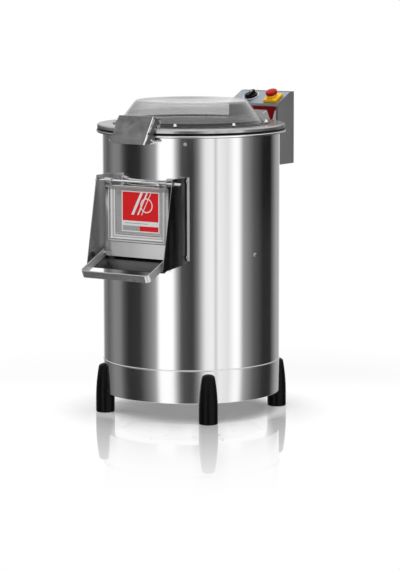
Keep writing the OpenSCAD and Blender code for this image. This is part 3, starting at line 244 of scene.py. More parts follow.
# Finishes that are alike all over
drum_steel = steel("drum_steel", 0.80, 0.115, bump=0.008, grain_tone=0.03, grain_rough=0.035,
                   smudge=0.02)
skirt_steel = steel("skirt_steel", 0.78, 0.15, bump=0.008, grain_tone=0.03, grain_rough=0.04,
                    smudge=0.03)
sheet_steel = steel("sheet_steel", 0.60, 0.34, grain=(300, 300, 6), bump=0.06)
# chute tray painted near black, as painted shade
tray_shade_steel = steel("tray_shade_steel", 0.085, 0.24, grain=(10, 120, 120), bump=0.01, smudge=0.04)
bright_steel = steel("bright_steel", 0.86, 0.16, grain=(120, 120, 120), bump=0.02)
# door throat painted near black, as painted shade inside the door's opening
throat_shade_steel = steel("throat_shade_steel", 0.10, 0.35, grain=(300, 300, 6), bump=0.04)
screw_steel = steel("screw_steel", 0.42, 0.30, grain=(120, 120, 120), bump=0.04)
panel_steel = steel("panel_steel", 0.43, 0.38, grain=(8, 260, 260), bump=0.03,
                    tint=(0.88, 0.97, 1.06))
dark_iron = steel("dark_iron", 0.30, 0.55, grain=(160, 160, 160), grain_tone=0.2, bump=0.2)
cast_metal = steel("cast_metal", 0.58, 0.50, grain=(140, 140, 140), grain_tone=0.12, bump=0.2)
foot_black = plastic("foot_black", (0.002, 0.002, 0.002), 0.28, 0.5, scale=150, bump=0.10,
                     wear=0.003, shine=0.11)
gloss_black = plastic("gloss_black", (0.003, 0.003, 0.004), 0.30, 0.3, bump=0.04, shine=0.12)
soft_rubber = plastic("soft_rubber", (0.020, 0.020, 0.020), 0.62, 0.3, bump=0.12)
motor_paint = plastic("motor_paint", (0.10, 0.13, 0.17), 0.42, 0.12, coat=0.2, bump=0.05)
rail_paint = plastic("rail_paint", (0.20, 0.21, 0.22), 0.45, 0.12, coat=0.1, bump=0.05)
stop_yellow = plastic("stop_yellow", (0.90, 0.50, 0.012), 0.34, 0.06, bump=0.03, shine=0.3)
stop_red = plastic("stop_red", (0.36, 0.003, 0.006), 0.30, 0.10, bump=0.03, shine=0.15)
switch_white = plastic("switch_white", (0.72, 0.72, 0.69), 0.40, 0.05, coat=0.1, bump=0.03)
mark_white = plastic("mark_white", (0.82, 0.82, 0.80), 0.45, 0.04, bump=0.01)


# Finishes that change over their piece
def box_finish():
    """Painted grey steel box: random clouds, painted shade that darkens its sides towards the top, and a front
    sheet painted darker as shade.
    """
    front_y, shade_top = 0.3816, 0.98
    material, p = finish("box_steel")
    _, y, z = p.axes()
    cloud = p.noise(p.stretched((6, 6, 3)), 1.0, 4.0, 0.6)
    # painted shade on the sides, darker towards the top, mixed with random clouds
    side = p.mix((cloud * 0.7 + (shade_top - z) * 1.2).kept_in(), grey(0.160), grey(0.29))
    # the front sheet is painted a darker grey as shade
    return surface(material, p, Base_Color=p.mix(y < front_y, side, grey(0.14)), Metallic=0.35,
                   Roughness=(cloud * 0.2 + 0.32), Normal=p.bump(cloud, 0.02))


def plate_finish():
    """Brushed latch plate: soft blotches, and a painted highlight along the fold down its right edge."""
    fold_x, fold_y, fold_z, fold_lean = 0.0655, -0.3112, 0.9865, 0.775
    material, p = finish("plate_steel")
    x, y, z = p.axes()
    blot = p.noise(p.place(), 26.0, 4.0, 0.6)
    fine = p.noise(p.stretched((12, 260, 260)), 1.0, 3.0, 0.6)
    # the right edge's fold, where near white is painted as a highlight
    fold = (x > fold_x) * (y < (z - fold_z) * fold_lean + fold_y)
    tone = p.shade((blot * 0.24 + fine * 0.08 + 0.005).kept_in())
    return surface(material, p, Base_Color=p.mix(fold, tone, grey(0.95)), Metallic=1.0,
                   Roughness=((1 - fold) * 0.28 + blot * 0.12 + 0.06), Normal=p.bump(fine, 0.02))


def pressed_finish():
    """Drawn door sheet: polished flats, satin slopes round its recess, painted light and shade bands on its folds,
    painted shade on its upper slope, and a painted highlight on its satin foot strip.
    """
    fold_start, fold_reach, slope_reach, strip_top = 0.002, 0.030, 0.0245, 0.592
    material, p = finish("pressed_steel")
    x, _, z = p.axes()
    fine = p.noise(p.stretched((6, 60, 60)), 1.0, 3.0, 0.5)
    blot = p.noise(p.place(), 16.0, 3.0, 0.6)
    out = (abs(x) - recess_half).either(recess_low - z).either((z - recess_high) * 2.05)
    # painted light and shade: bright and dark bands along the folds round the recess
    folds = p.ramp((out + fold_start) / fold_reach, [
        (0.0, 1.0), (0.05, 1.0), (0.09, 0.22), (0.14, 0.30), (0.19, 0.95), (0.26, 0.90), (0.32, 0.34),
        (0.38, 0.55), (0.50, 1.0), (0.57, 0.85), (0.62, 0.16), (0.68, 0.35), (0.74, 1.0), (0.83, 1.0),
        (0.88, 0.30), (0.93, 0.85), (1.0, 1.0)])
    slope = (out > 0.0) * (out < slope_reach)
    # upper slope of the recess, painted darker as shade
    top_slope_shade = (z > recess_high + 0.0005)
    # satin foot strip, which also carries a painted highlight
    satin_and_highlight_strip = (z < strip_top) * ((x + 0.16) * 4.0).kept_in()
    satin = (slope * 0.62).either(satin_and_highlight_strip * 0.9)
    tone = (blot * 0.20 + fine * 0.08 + 0.72).kept_in() * folds * (1 - top_slope_shade * 0.35)
    # painted highlight on the foot strip, brighter towards the right
    tone = (tone + satin_and_highlight_strip * ((x + 0.06) * 8.0).kept_in() * 0.22).kept_in()
    return surface(material, p, Base_Color=p.shade(tone), Metallic=(0.93 - satin * 0.9),
                   Roughness=(slope * 0.22 + blot * 0.06 + 0.12))


def handle_finish():
    """Polished bar with a matt upper edge and satin arms."""
    tilt, edge_depth, arms_y = math.radians(24.0), 0.0010, -0.432
    material, p = finish("handle_steel")
    _, y, z = p.axes()
    fine = p.noise(p.stretched((60, 60, 60)), 1.0, 3.0, 0.5)
    up = Vector((0, -math.sin(tilt), math.cos(tilt)))
    highest = max(up.dot(v.co) for v in nodes["door_handle"].data.vertices)
    top = (y * up.y + z * up.z > highest - edge_depth)
    arms = (y > arms_y)
    tone = p.shade((fine * 0.16 + 0.62).kept_in())
    return surface(material, p, Base_Color=p.mix(top, tone, grey(0.42)),
                   Metallic=(0.92 - top.either(arms * 0.45) * 0.9),
                   Roughness=(top * 0.45 + fine * 0.06 + 0.15))


def cheek_finish():
    """Polished side sheets with upright streaks: painted shade on their outer faces, painted light on their
    flanges and on their inner faces, growing towards the door.
    """
    outer_x, flange_x, flange_y, door_y = 0.1503, 0.1562, -0.2, -0.385
    material, p = finish("cheek_steel")
    x, y, _ = p.axes()
    runs = p.noise(p.stretched((1, 55, 5)), 1.0, 4.0, 0.6)
    specks = p.noise(p.place(), 120.0, 3.0, 0.7)
    outer = (abs(x) > outer_x)
    flange = (abs(x) > flange_x) * (y < flange_y)
    # painted light on the inner faces, growing towards the door
    near_door_light = ((y - door_y) / 0.060).kept_in() * (1 - outer)
    # painted shade on the outer faces, with light specks
    dark = (runs * 0.34 + (specks > 0.70) * 0.12 - 0.06).kept_in()
    # painted highlight on the flanges
    dark = (dark + flange * 0.70).kept_in()
    # painted light on the inner faces
    pale = (runs * 0.34 + 0.33).kept_in()
    tone = p.mix(outer, p.shade(pale), p.shade(dark))
    return surface(material, p, Base_Color=p.mix(near_door_light * 0.5, tone, grey(0.55)),
                   Metallic=(1 - near_door_light * 0.45 - flange * 0.50),
                   Roughness=(runs * 0.16 + 0.12), Normal=p.bump(runs, 0.03))


def grit_finish():
    """Coarse abrasive grains on a dark ground."""
    material, p = finish("grit")
    grains = p.add("ShaderNodeTexVoronoi", None, {"Vector": p.place(), "Scale": 420.0})
    tone = p.ramp(grains, [(0.0, 0.05), (0.6, 0.13), (1.0, 0.24)])
    return surface(material, p, Base_Color=tone, Roughness=0.85, Normal=p.bump(grains, 0.7, 0.001))


def dome_finish():
    """Hazy clear plastic, paler low on its wall, with painted light on its rim edge, its crown and its right side,
    and painted dark lines where it folds.
    """
    low_z, right_z, high_z = 0.996, 0.99, 1.030
    crown_reach, fold_reach, foot_reach, flange_reach = 0.1035, 0.1815, 0.2370, 0.2415
    foot_top, flange_top = 0.9765, 0.9695
    # body grey, the grey of the painted light, and the black of the painted fold lines
    bright, dim, black = (0.72, 0.71, 0.72), (0.140, 0.136, 0.142), (0.012, 0.010, 0.012)
    material, p = finish("dome_plastic")
    x, y, z = p.axes()
    haze = p.noise(p.stretched((9, 9, 3)), 1.0, 3.0, 0.5)
    edge = p.add("ShaderNodeLayerWeight", None, {"Blend": 0.5}, out=1)
    reach = (x * x + y * y) ** 0.5
    side = rightward(x, y)
    low = (1 - (z - low_z) / 0.010).kept_in()
    # crown, where painted light grows towards the right
    high = ((z - high_z) / 0.008).kept_in()
    # painted light on the right side
    right = ((side - 0.02) * 5.0).kept_in() * ((z - right_z) / 0.02).kept_in()
    flange = (reach > flange_reach) * (z < flange_top)
    # painted dark lines at the crown step, the shoulder fold and the wall's foot
    crown = (1 - abs(reach - crown_reach) / 0.0026).kept_in()
    fold = (1 - abs(reach - fold_reach) / 0.0030).kept_in() * (z > high_z)
    foot = (abs(reach - foot_reach) < 0.0050) * (z < foot_top)
    lines = (crown * (haze * 2.2 - 0.45).kept_in() + fold).kept_in()
    alpha = edge ** 4 * 0.50 + right * 0.08 + (haze - 0.5) * 0.18 + lines * 0.40 + low * 0.11 + 0.190
    alpha = ((alpha - high * 0.05) * (1 - flange * 0.72) + foot).kept_in()
    # painted light: at the glancing edge towards the right, on the crown and on the right side, and paler low on
    # the wall
    pale = (edge ** 3 * (side * 4.0 + 0.35).kept_in() * 1.5).kept_in()
    pale = pale.either(high * (side * 1.6 + 0.56).kept_in()).either(low * 0.36).either(right * 0.32)
    dark = (lines * 0.9 + foot).kept_in()
    return surface(material, p, Base_Color=p.mix(dark, p.mix(pale, dim, bright), black),
                   Roughness=(haze * 0.08 + 0.04), Alpha=alpha, IOR=1.49)


def lip_finish(name, tone, rough, dark_over, dark_under, glance, lean=0.0, satin=0.0):
    """Polished ring with painted shade over and under the heights where it meets its neighbour, and painted light
    growing towards the right by lean.
    """
    joint_reach, satin_reach, satin_z = 0.306, 0.262, 0.9625
    material, p = finish(name)
    x, y, z = p.axes()
    fine = p.noise(p.stretched((30, 30, 120)), 1.0, 4.0, 0.6)
    blot = p.noise(p.place(), 9.0, 3.0, 0.6)
    reach = (x * x + y * y) ** 0.5
    # painted shade in the joint with the neighbouring ring
    gap_shade = (z > dark_over).either(z < dark_under) * (reach > joint_reach)
    flat = ((z > satin_z) * 0.34 + 0.20) * (reach > satin_reach) * satin
    # lean paints light that grows towards the right
    level = (fine * 0.16 + blot * 0.16 + rightward(x, y) * lean + tone - 0.16).kept_in()
    return surface(material, p, Base_Color=p.mix(gap_shade, p.shade(level), grey(0.01)),
                   Metallic=(1 - gap_shade * 0.9 - flat * (1 - gap_shade)),
                   Roughness=(fine * 0.06 + gap_shade * 0.35 + rough),
                   Specular_Tint=grey(glance), Normal=p.bump(fine, 0.006))


grit = grit_finish()
dome_plastic = dome_finish()
# rim: painted shade over and under its joint and painted light to the right; lid: painted shade under its lip
rim_steel = lip_finish("rim_steel", 0.78, 0.09, 0.9425, 0.9372, 0.8, lean=1.2)
lid_steel = lip_finish("lid_steel", 0.46, 0.12, 1.2, 0.9508, 0.25, satin=1.0)
cheek_steel = cheek_finish()
pressed_steel = pressed_finish()
handle_steel = handle_finish()
box_steel = box_finish()
plate_steel = plate_finish()

node_finish = {
    "base_skirt": skirt_steel, "bottom_cover": sheet_steel, "drum_shell": drum_steel,
    "rim_ring": rim_steel, "floor_ring": sheet_steel, "chamber_floor": sheet_steel,
    "liner_panels": grit, "drum_screws": screw_steel, "bearing_housing": dark_iron,
    "hub_bolts": bright_steel, "bearings": bright_steel, "shaft_seal": soft_rubber,
    "chassis_rails": rail_paint, "motor_plate": rail_paint, "motor_body": motor_paint,
    "motor_bolts": bright_steel, "drive_belt": soft_rubber, "main_shaft": bright_steel,
    "driven_pulley": dark_iron, "peeling_disc": cast_metal, "abrasive_pad": grit,
    "disc_bolt": bright_steel, "motor_rotor": dark_iron, "cheeks": cheek_steel,
    "door_throat": throat_shade_steel, "door_gasket": soft_rubber, "chute_floor": tray_shade_steel,
    "hinge_rod": bright_steel, "rod_nuts": bright_steel, "handle_buffers": soft_rubber,
    "door_panel": pressed_steel, "handle_pivots": bright_steel, "door_handle": handle_steel,
    "lid_ring": lid_steel, "lid_gasket": soft_rubber, "dome_seal": soft_rubber,
    "lid_dome": dome_plastic, "dome_screws": bright_steel, "hinge_bracket": sheet_steel,
    "lid_hinge_strap": sheet_steel, "latch_lugs": sheet_steel, "latch_plate": plate_steel,
    "latch_keeper": bright_steel, "control_box": box_steel, "control_panel": panel_steel,
    "box_rear_cover": box_steel, "switchgear": switch_white, "cable_gland": gloss_black,
    "estop_base": stop_yellow, "timer_knob": gloss_black, "estop_stem": gloss_black,
    "estop_cap": stop_red, "drain_pipe": bright_steel, "water_valve": gloss_black,
    "cable_conduit": gloss_black, "foot_bolts": foot_black, "foot_front_right": foot_black,
    "foot_rear_right": foot_black, "foot_rear_left": foot_black, "foot_front_left": foot_black,
}
for node, cad in nodes.items():
    cad.data.materials.clear()
    cad.data.materials.append(node_finish[node])


# Shaping tools
def new_piece(name, mesh, material, body):
    piece = bpy.data.objects.new(name, mesh)
    bpy.context.scene.collection.objects.link(piece)
    mesh.materials.clear()
    mesh.materials.append(material)
    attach(piece, body)
    return piece


def kept_mesh(bm, name, crease=35):
    """The finished mesh, smooth up to a crease in degrees, or flat where that is None."""
    bmesh.ops.recalc_face_normals(bm, faces=bm.faces[:])
    mesh = bpy.data.meshes.new(name)
    bm.to_mesh(mesh)
    bm.free()
    if crease:
        mesh.shade_smooth()
        mesh.set_sharp_from_angle(angle=math.radians(crease))
    return mesh


def soften(bm, edges, width, segments=3):
    bmesh.ops.bevel(bm, geom=edges, offset=width * MM, offset_type="OFFSET", segments=segments,
                    profile=0.5, affect="EDGES", clamp_overlap=True, material=-1)


def smoothed(node, edge=0.0):
    """A merged, smooth copy of a node in its place, its sharp edges rounded by a width in mm."""
    crease = math.radians(32)
    mesh = nodes[node].data.copy()
    bm = bmesh.new()
    bm.from_mesh(mesh)
    bmesh.ops.remove_doubles(bm, verts=bm.verts[:], dist=2e-6)
    if edge:
        bmesh.ops.dissolve_limit(bm, angle_limit=math.radians(0.6), verts=bm.verts[:],
                                 edges=bm.edges[:])
    bm.to_mesh(mesh)
    bm.free()
    mesh.shade_smooth()
    if not edge:
        mesh.set_sharp_from_angle(angle=crease)
    piece = new_piece(node + "_skin", mesh, node_finish[node], riders[node])
    if edge:
        rounding = piece.modifiers.new("edges", "BEVEL")
        rounding.width, rounding.segments = edge * MM, 2
        rounding.limit_method, rounding.angle_limit = "ANGLE", crease
        even = piece.modifiers.new("even", "WEIGHTED_NORMAL")
        even.keep_sharp = True
    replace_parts(piece, node)
    return piece


def rounded_true(piece):
    """Gives the round walls of a drum exact normals, so that polish shows no facets."""
    mesh = piece.data
    normals = [None] * len(mesh.loops)
    for face in mesh.polygons:
        out = Vector((face.center.x, face.center.y, 0)).normalized()
        side = face.normal.dot(out)
        for i in face.loop_indices:
            spot = mesh.vertices[mesh.loops[i].vertex_index].co
            wall = Vector((spot.x, spot.y, 0)).normalized()
            normals[i] = wall * (1 if side > 0 else -1) if abs(side) > 0.97 else face.normal.copy()
    mesh.normals_split_custom_set(normals)


def bend(centre, radius, start, stop, count=8):
    """Points of an arc about (r, z), from one angle to the other, in degrees."""
    turns = [math.radians(start + (stop - start) * i / count) for i in range(count + 1)]
    return [(centre[0] + radius * math.cos(turn), centre[1] + radius * math.sin(turn))
            for turn in turns]


def spin_outline(outline, steps):
    """A closed outline of (radius, height), spun about the z axis."""
    bm = bmesh.new()
    verts = [bm.verts.new((radius * MM, 0, height * MM)) for radius, height in outline]
    edges = [bm.edges.new((verts[i - 1], verts[i])) for i in range(len(verts))]
    bmesh.ops.spin(bm, geom=verts + edges, cent=(0, 0, 0), axis=(0, 0, 1), angle=math.tau,
                   steps=steps, use_merge=True)
    bmesh.ops.remove_doubles(bm, verts=bm.verts[:], dist=1e-6)
    return bm


def spun(name, outline, material, body):
    """A piece spun about the drum's axis from a closed outline."""
    steps, crease = 160, 38
    bm = spin_outline(outline, steps)
    return new_piece(name, kept_mesh(bm, name, crease), material, body)


def bar(bm, radius, start, stop, y=pin_y, z=pin_z, edge=0.8, segments=48):
    """A round or six-sided bar along x, its ends softened unless edge is 0."""
    made = bmesh.ops.create_cone(bm, cap_ends=True, segments=segments, radius1=radius * MM,
                                 radius2=radius * MM, depth=abs(stop - start) * MM)["verts"]
    bmesh.ops.rotate(bm, matrix=Matrix.Rotation(math.pi / 2, 3, "Y"), verts=made)
    bmesh.ops.translate(bm, vec=((start + stop) / 2 * MM, y * MM, z * MM), verts=made)
    if edge:
        rims = {e for v in made for e in v.link_edges}
        soften(bm, [e for e in rims if e.calc_face_angle(0) > 1], edge)


def block(bm, size, middle):
    made = bmesh.ops.create_cube(bm, size=1.0)["verts"]
    bmesh.ops.scale(bm, vec=Vector(size) * MM, verts=made)
    bmesh.ops.translate(bm, vec=Vector(middle) * MM, verts=made)
    return made


def round_cornered(bm, width, height, corner):
    """A flat sheet about the origin, in metres."""
    bmesh.ops.create_grid(bm, x_segments=1, y_segments=1, size=0.5)
    bmesh.ops.scale(bm, vec=(width, height, 1), verts=bm.verts[:])
    bmesh.ops.bevel(bm, geom=bm.verts[:], offset=corner, offset_type="OFFSET", segments=5,
                    profile=0.5, affect="VERTICES", clamp_overlap=True, material=-1)


def stepped_sheet(bm, steps, corner, fold, thickness):
    """A pressed sheet: each step is (half width, low z, high z, y), nested inside the last."""
    half, low, high, y = steps[0]
    round_cornered(bm, 2 * half * MM, (high - low) * MM, corner * MM)
    bmesh.ops.rotate(bm, matrix=Matrix.Rotation(math.pi / 2, 3, "X"), verts=bm.verts[:])
    bmesh.ops.translate(bm, vec=(0, y * MM, (low + high) / 2 * MM), verts=bm.verts[:])
    bm.faces.ensure_lookup_table()
    last = bm.faces[0]
    for new_half, new_low, new_high, new_y in steps[1:]:
        last = bmesh.ops.extrude_discrete_faces(bm, faces=[last])["faces"][0]
        middle = Vector((0, y * MM, (low + high) / 2 * MM))
        rise = (new_low + new_high - low - high) / 2
        bmesh.ops.scale(bm, vec=(new_half / half, 1, (new_high - new_low) / (high - low)),
                        space=Matrix.Translation(-middle), verts=last.verts[:])
        bmesh.ops.translate(bm, vec=(0, (new_y - y) * MM, rise * MM), verts=last.verts[:])
        half, low, high, y = new_half, new_low, new_high, new_y
    folds = [e for e in bm.edges if len(e.link_faces) == 2 and e.calc_face_angle(0) > 0.2]
    soften(bm, folds, fold, 4)
    bmesh.ops.recalc_face_normals(bm, faces=bm.faces[:])
    bmesh.ops.solidify(bm, geom=bm.faces[:], thickness=thickness * MM)


def seat_on(node, start, direction):
    """Where a straight line from start meets a node's surface."""
    mesh = nodes[node].data
    tree = BVHTree.FromPolygons([v.co for v in mesh.vertices], [p.vertices for p in mesh.polygons])
    return tree.ray_cast(Vector(start), Vector(direction).normalized())[0]


def turned_to(right, up):
    """The turn that takes x to right, y to up and z out of the plane that they span."""
    return Matrix((right, up, right.cross(up))).transposed().to_4x4()


def plate(name, origin, right, up, size, depth, corner, material, body):
    """A thin round-cornered plate on the plane of two directions, in metres."""
    bm = bmesh.new()
    round_cornered(bm, *size, corner)
    face = bmesh.ops.extrude_face_region(bm, geom=bm.faces[:])
    raised = [v for v in face["geom"] if isinstance(v, bmesh.types.BMVert)]
    bmesh.ops.translate(bm, verts=raised, vec=(0, 0, depth))
    bmesh.ops.transform(bm, matrix=Matrix.Translation(origin) @ turned_to(right, up),
                        verts=bm.verts[:])
    return new_piece(name, kept_mesh(bm, name, None), material, body)


# Nodes that keep their shape, with merged normals or rounded edges
rounded_true(smoothed("drum_shell"))
for node in ("foot_front_right", "foot_rear_right", "foot_rear_left", "foot_front_left",
             "dome_screws", "drum_screws", "estop_cap", "drain_pipe", "cable_conduit", "rim_ring"):
    smoothed(node)
for node, edge in (("latch_plate", 2.2), ("door_handle", 0.4), ("cheeks", 0.5),
                   ("control_box", 0.7), ("control_panel", 0.4), ("estop_base", 0.8),
                   ("timer_knob", 0.9), ("chute_floor", 0.4)):
    smoothed(node, edge)

# Pressed door: rim, raised frame, ledge and deep recess, hung from two knuckles
door_corner, door_fold, door_sheet = 6, 1.7, 1.4
bead_radius, bead_half, bead_y, bead_z = 3.4, 123, -316, 774.5
knuckle_radius, knuckle_start, knuckle_stop = 9, 95.2, 122.8
leaf_size, leaf_x, leaf_y, leaf_z = (27.2, 5, 20), 109, -320, 780
bm = bmesh.new()
stepped_sheet(bm, door_steps, door_corner, door_fold, door_sheet)
bar(bm, bead_radius, -bead_half, bead_half, bead_y, bead_z)
for side in (-1, 1):
    bar(bm, knuckle_radius, side * knuckle_start, side * knuckle_stop)
    leaf = block(bm, leaf_size, (side * leaf_x, leaf_y, leaf_z))
    soften(bm, list({e for v in leaf for e in v.link_edges}), 0.8)
door_piece = new_piece("door_pressing", kept_mesh(bm, "door_pressing"), pressed_steel, "door")
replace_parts(door_piece, "door_panel")

# Slim hinge rod, running out past the right cheek
rod_radius, rod_left, rod_right = 3.8, -159, 176
bm = bmesh.new()
bar(bm, rod_radius, rod_left, rod_right)
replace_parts(new_piece("hinge_rod_turned", kept_mesh(bm, "hinge_rod_turned"), bright_steel,
                      riders["hinge_rod"]), "hinge_rod")

# A hexagon nut on each end of the rod, and the threads past the right one
nut_radius, nut_start, nut_stop = 7.5, 152, 158
thread_radius, thread_start, thread_width, thread_pitch, thread_count = 4.4, 160.6, 1.7, 2.9, 5
bm = bmesh.new()
for side in (-1, 1):
    bar(bm, nut_radius, side * nut_start, side * nut_stop, edge=0, segments=6)
for i in range(thread_count):
    start = thread_start + thread_pitch * i
    bar(bm, thread_radius, start, start + thread_width, edge=0.6, segments=24)
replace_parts(new_piece("rod_nuts_hex", kept_mesh(bm, "rod_nuts_hex"), bright_steel,
                      riders["rod_nuts"]), "rod_nuts")

# Skirt: flange, wall with a soft lower edge, and the rolled bead of its seam
skirt_radius, skirt_hole, skirt_foot, skirt_sheet, skirt_edge = 295.3, 229.3, 67, 2, 2.1
seam_z, seam_half, seam_out = 176, 2.5, 1.6
skirt_inside, skirt_floor = skirt_radius - skirt_sheet, skirt_foot + skirt_sheet
seam = [(skirt_radius + seam_out * math.sin(turn), seam_z - seam_half * math.cos(turn))
        for turn in (math.radians(a) for a in range(18, 180, 18))]
skirt_outline = (
    [(skirt_hole, skirt_foot), (skirt_radius - skirt_edge, skirt_foot)]
    + bend((skirt_radius - skirt_edge, skirt_foot + skirt_edge), skirt_edge, 270, 360, 4)
    + [(skirt_radius, seam_z - seam_half)] + seam + [(skirt_radius, seam_z + seam_half)]
    + [(skirt_inside, seam_z + seam_half), (skirt_inside, skirt_floor), (skirt_hole, skirt_floor)])
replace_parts(spun("skirt", skirt_outline, skirt_steel, "machine"), "base_skirt")

# Lid: a flat ring turned down at its hole and over the rim, with a rounded outer edge
lid_radius, lid_hole, lid_top, lid_sheet = 312.5, 226, 964, 2.5
hem_z, hole_hem_z, lid_edge, nick = 948, 956, 5, 0.6
lid_under, hem_inside = lid_top - lid_sheet, lid_radius - lid_sheet
edge_radius, edge_z = lid_radius - lid_edge, lid_top - lid_edge
lid_outline = (
    [(hem_inside, hem_z), (lid_radius - nick / 2, hem_z), (lid_radius, hem_z + nick / 2)]
    + [(lid_radius, edge_z - nick)] + bend((edge_radius, edge_z), lid_edge, 0, 90)
    + [(edge_radius - nick, lid_top), (lid_hole + nick, lid_top), (lid_hole, lid_top - nick)]
    + [(lid_hole, hole_hem_z), (lid_hole + lid_sheet, hole_hem_z)]
    + [(lid_hole + lid_sheet, lid_under), (hem_inside, lid_under)])
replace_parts(spun("lid_sheet", lid_outline, lid_steel, "lid"), "lid_ring")

# Clear dome, with its flange, sloped wall, round shoulder and a shallow step on its crown
dome_foot, dome_top, dome_wall = 965.5, 1044.5, 3.5
flange_radius, foot_inside, heel, heel_radius = 260, 232.5, (241, dome_foot + 7.5), 4
shoulder_radius, shoulder_drop = 17, 3
shoulder = (176, dome_top - shoulder_drop - shoulder_radius)
crown = [(150, 2.5), (106, 1.8), (102, 0.6), (60, 0.2), (0, 0)]
outside = ([(flange_radius, dome_foot), (flange_radius, dome_foot + dome_wall)]
           + bend(heel, heel_radius, 270, 205, 5) + bend(shoulder, shoulder_radius, 26, 90, 10)
           + [(radius, dome_top - drop) for radius, drop in crown])
inside = ([(radius, dome_top - drop - dome_wall) for radius, drop in reversed(crown)]
          + bend(shoulder, shoulder_radius - dome_wall, 90, 26, 10) + [(foot_inside, dome_foot)])
dome_piece = spun("dome_shell", outside + inside, dome_plastic, "lid")
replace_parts(dome_piece, "lid_dome")

# Sticker in the door's recess
across_door, upright = Vector((1, 0, 0)), Vector((0, 0, 1))
label_low, label_high = Vector((-0.068, 0, 0.6265)), Vector((0.0815, 0, 0.7595))
label_size = label_high - label_low
label_middle = (label_low + label_high) / 2


def label_finish():
    """Red field with slanted white bars, a white band and a grey corner block."""
    red, white, block_grey, line_grey = (0.78, 0.018, 0.022), grey(0.86), (0.42, 0.42, 0.43), grey(0.35)
    material, p = finish("door_label")
    x, _, z = p.axes()
    across = (x - label_low.x) / label_size.x
    rise = (z - label_low.z) / label_size.z
    lean = across - rise * 0.45
    bars = (abs(lean - 0.10) < 0.035).either(abs(lean - 0.24) < 0.02).either(abs(lean - 0.34) < 0.01)
    bars = bars * (rise > 0.42)
    ring = abs(((across - 0.66) ** 2 + ((rise - 0.66) * 0.9) ** 2) ** 0.5 - 0.15) < 0.012
    band = (rise < 0.27) * (rise > 0.15)
    foot = (rise < 0.15) * (across < 0.48)
    lines = (abs(rise - 0.21) < 0.008) * (across > 0.08) * (across < 0.7)
    rim = (abs(across - 0.5) > 0.475).either(abs(rise - 0.5) > 0.475)
    colour = p.mix(bars.either(ring).either(band).either(rim), red, white)
    colour = p.mix(foot * (1 - rim), colour, block_grey)
    colour = p.mix(lines, colour, line_grey)
    wear = p.noise(p.place(), 60.0, 4.0, 0.6)
    return surface(material, p, 0.12, Base_Color=colour, Roughness=(wear * 0.15 + 0.38),
                   Normal=p.bump(wear, 0.03, 0.0003))


plate("door_label", (label_middle.x, recess_y, label_middle.z), across_door, upright,
      (label_size.x, label_size.z), 0.35 * MM, 2 * MM, label_finish(), "door")

# Dial round the timer knob: white edge, grey scale and black ticks
panel_slope = math.radians(25)
panel_right = Vector((1, 0, 0))
panel_up = Vector((0, math.cos(panel_slope), math.sin(panel_slope)))
panel_out = panel_right.cross(panel_up)
knob_joint = next(j for j in frame["joints"] if j["name"] == "timer_turn")
knob_at = Vector(knob_joint["pos_m"])
above_panel, past_knob, on_grip = panel_out * 0.1, panel_up * 0.026, panel_up * 0.010
dial_top = seat_on("control_panel", knob_at + past_knob + above_panel, -panel_out)
dial_floor = knob_at + panel_out * (dial_top - knob_at).dot(panel_out)
on_dial = Matrix.Translation(dial_floor) @ turned_to(panel_right, panel_up)


def dial_ring(name, radius_in, radius_out, height, material):
    """A flat ring raised out of the panel."""
    steps, crease = 96, 40
    corners = [(radius_in, 0), (radius_out, 0), (radius_out, height), (radius_in, height)]
    bm = spin_outline(corners, steps)
    bmesh.ops.transform(bm, matrix=on_dial, verts=bm.verts[:])
    return new_piece(name, kept_mesh(bm, name, crease), material, "machine")


dial_ring("dial_edge", 26.8, 28.3, 0.6, mark_white)
dial_ring("dial_scale", 22.6, 25.6, 0.3, panel_steel)
tick_reach, tick_depth, tick_middle, first_tick, tick_step = 26.4, 0.2, 0.42, 120, 15
tick_count, long_every, long_tick, short_tick = 21, 5, (4.4, 1.1), (2.8, 0.7)
bm = bmesh.new()
for i in range(tick_count):
    length, width = short_tick if i % long_every else long_tick
    tick = block(bm, (length, width, tick_depth), (tick_reach - length / 2, 0, tick_middle))
    turn = math.radians(first_tick - tick_step * i)
    bmesh.ops.rotate(bm, matrix=Matrix.Rotation(turn, 3, "Z"), verts=tick)
bmesh.ops.transform(bm, matrix=on_dial, verts=bm.verts[:])
new_piece("dial_ticks", kept_mesh(bm, "dial_ticks", None), gloss_black, "machine")
grip_top = seat_on("timer_knob", knob_at + on_grip + above_panel, -panel_out)
plate("knob_pointer", grip_top, panel_right, panel_up, (1.8 * MM, 14 * MM), 0.3 * MM, 0.5 * MM,
      mark_white, "timer_knob")


# Plain plate on the box's front, under the panel
def front_plate_finish():
    """Dark red band and wedge on pale grey, with one small slanted bar."""
    dark_red, pale, bar_white = (0.17, 0.002, 0.005), grey(0.48), grey(0.85)
    plate_top, band_low, waist, bar_x = 1.000, 0.9875, 0.046, 0.046
    material, p = finish("front_plate")
    x, _, z = p.axes()
    drop = plate_top - z
    upper = (x > drop * 0.42 + 0.050) * (x < 0.092 - drop * 0.30) * (drop < waist + 0.002)
    lower = (x > 0.103 - drop * 0.55) * (x < drop * 0.30 + 0.063) * (drop > waist - 0.002)
    red = (z > band_low).either(upper.either(lower))
    slant = (abs(drop - 0.020 - (bar_x - x) * 0.55) < 0.0016) * (abs(x - bar_x) < 0.008)
    wear = p.noise(p.place(), 60.0, 4.0, 0.6)
    return surface(material, p, 0.15, Base_Color=p.mix(red, p.mix(slant, pale, bar_white), dark_red),
                   Roughness=(wear * 0.15 + 0.30), Normal=p.bump(wear, 0.03, 0.0003))


plate_x, plate_z, plate_size, before_box = 0.045, 0.9665, (0.094, 0.067), 0.2
front_hit = seat_on("control_box", (plate_x, before_box, plate_z), (0, 1, 0))
plate("front_plate", (plate_x, front_hit.y, plate_z), across_door, upright, plate_size, 0.4 * MM,
      3 * MM, front_plate_finish(), "machine")

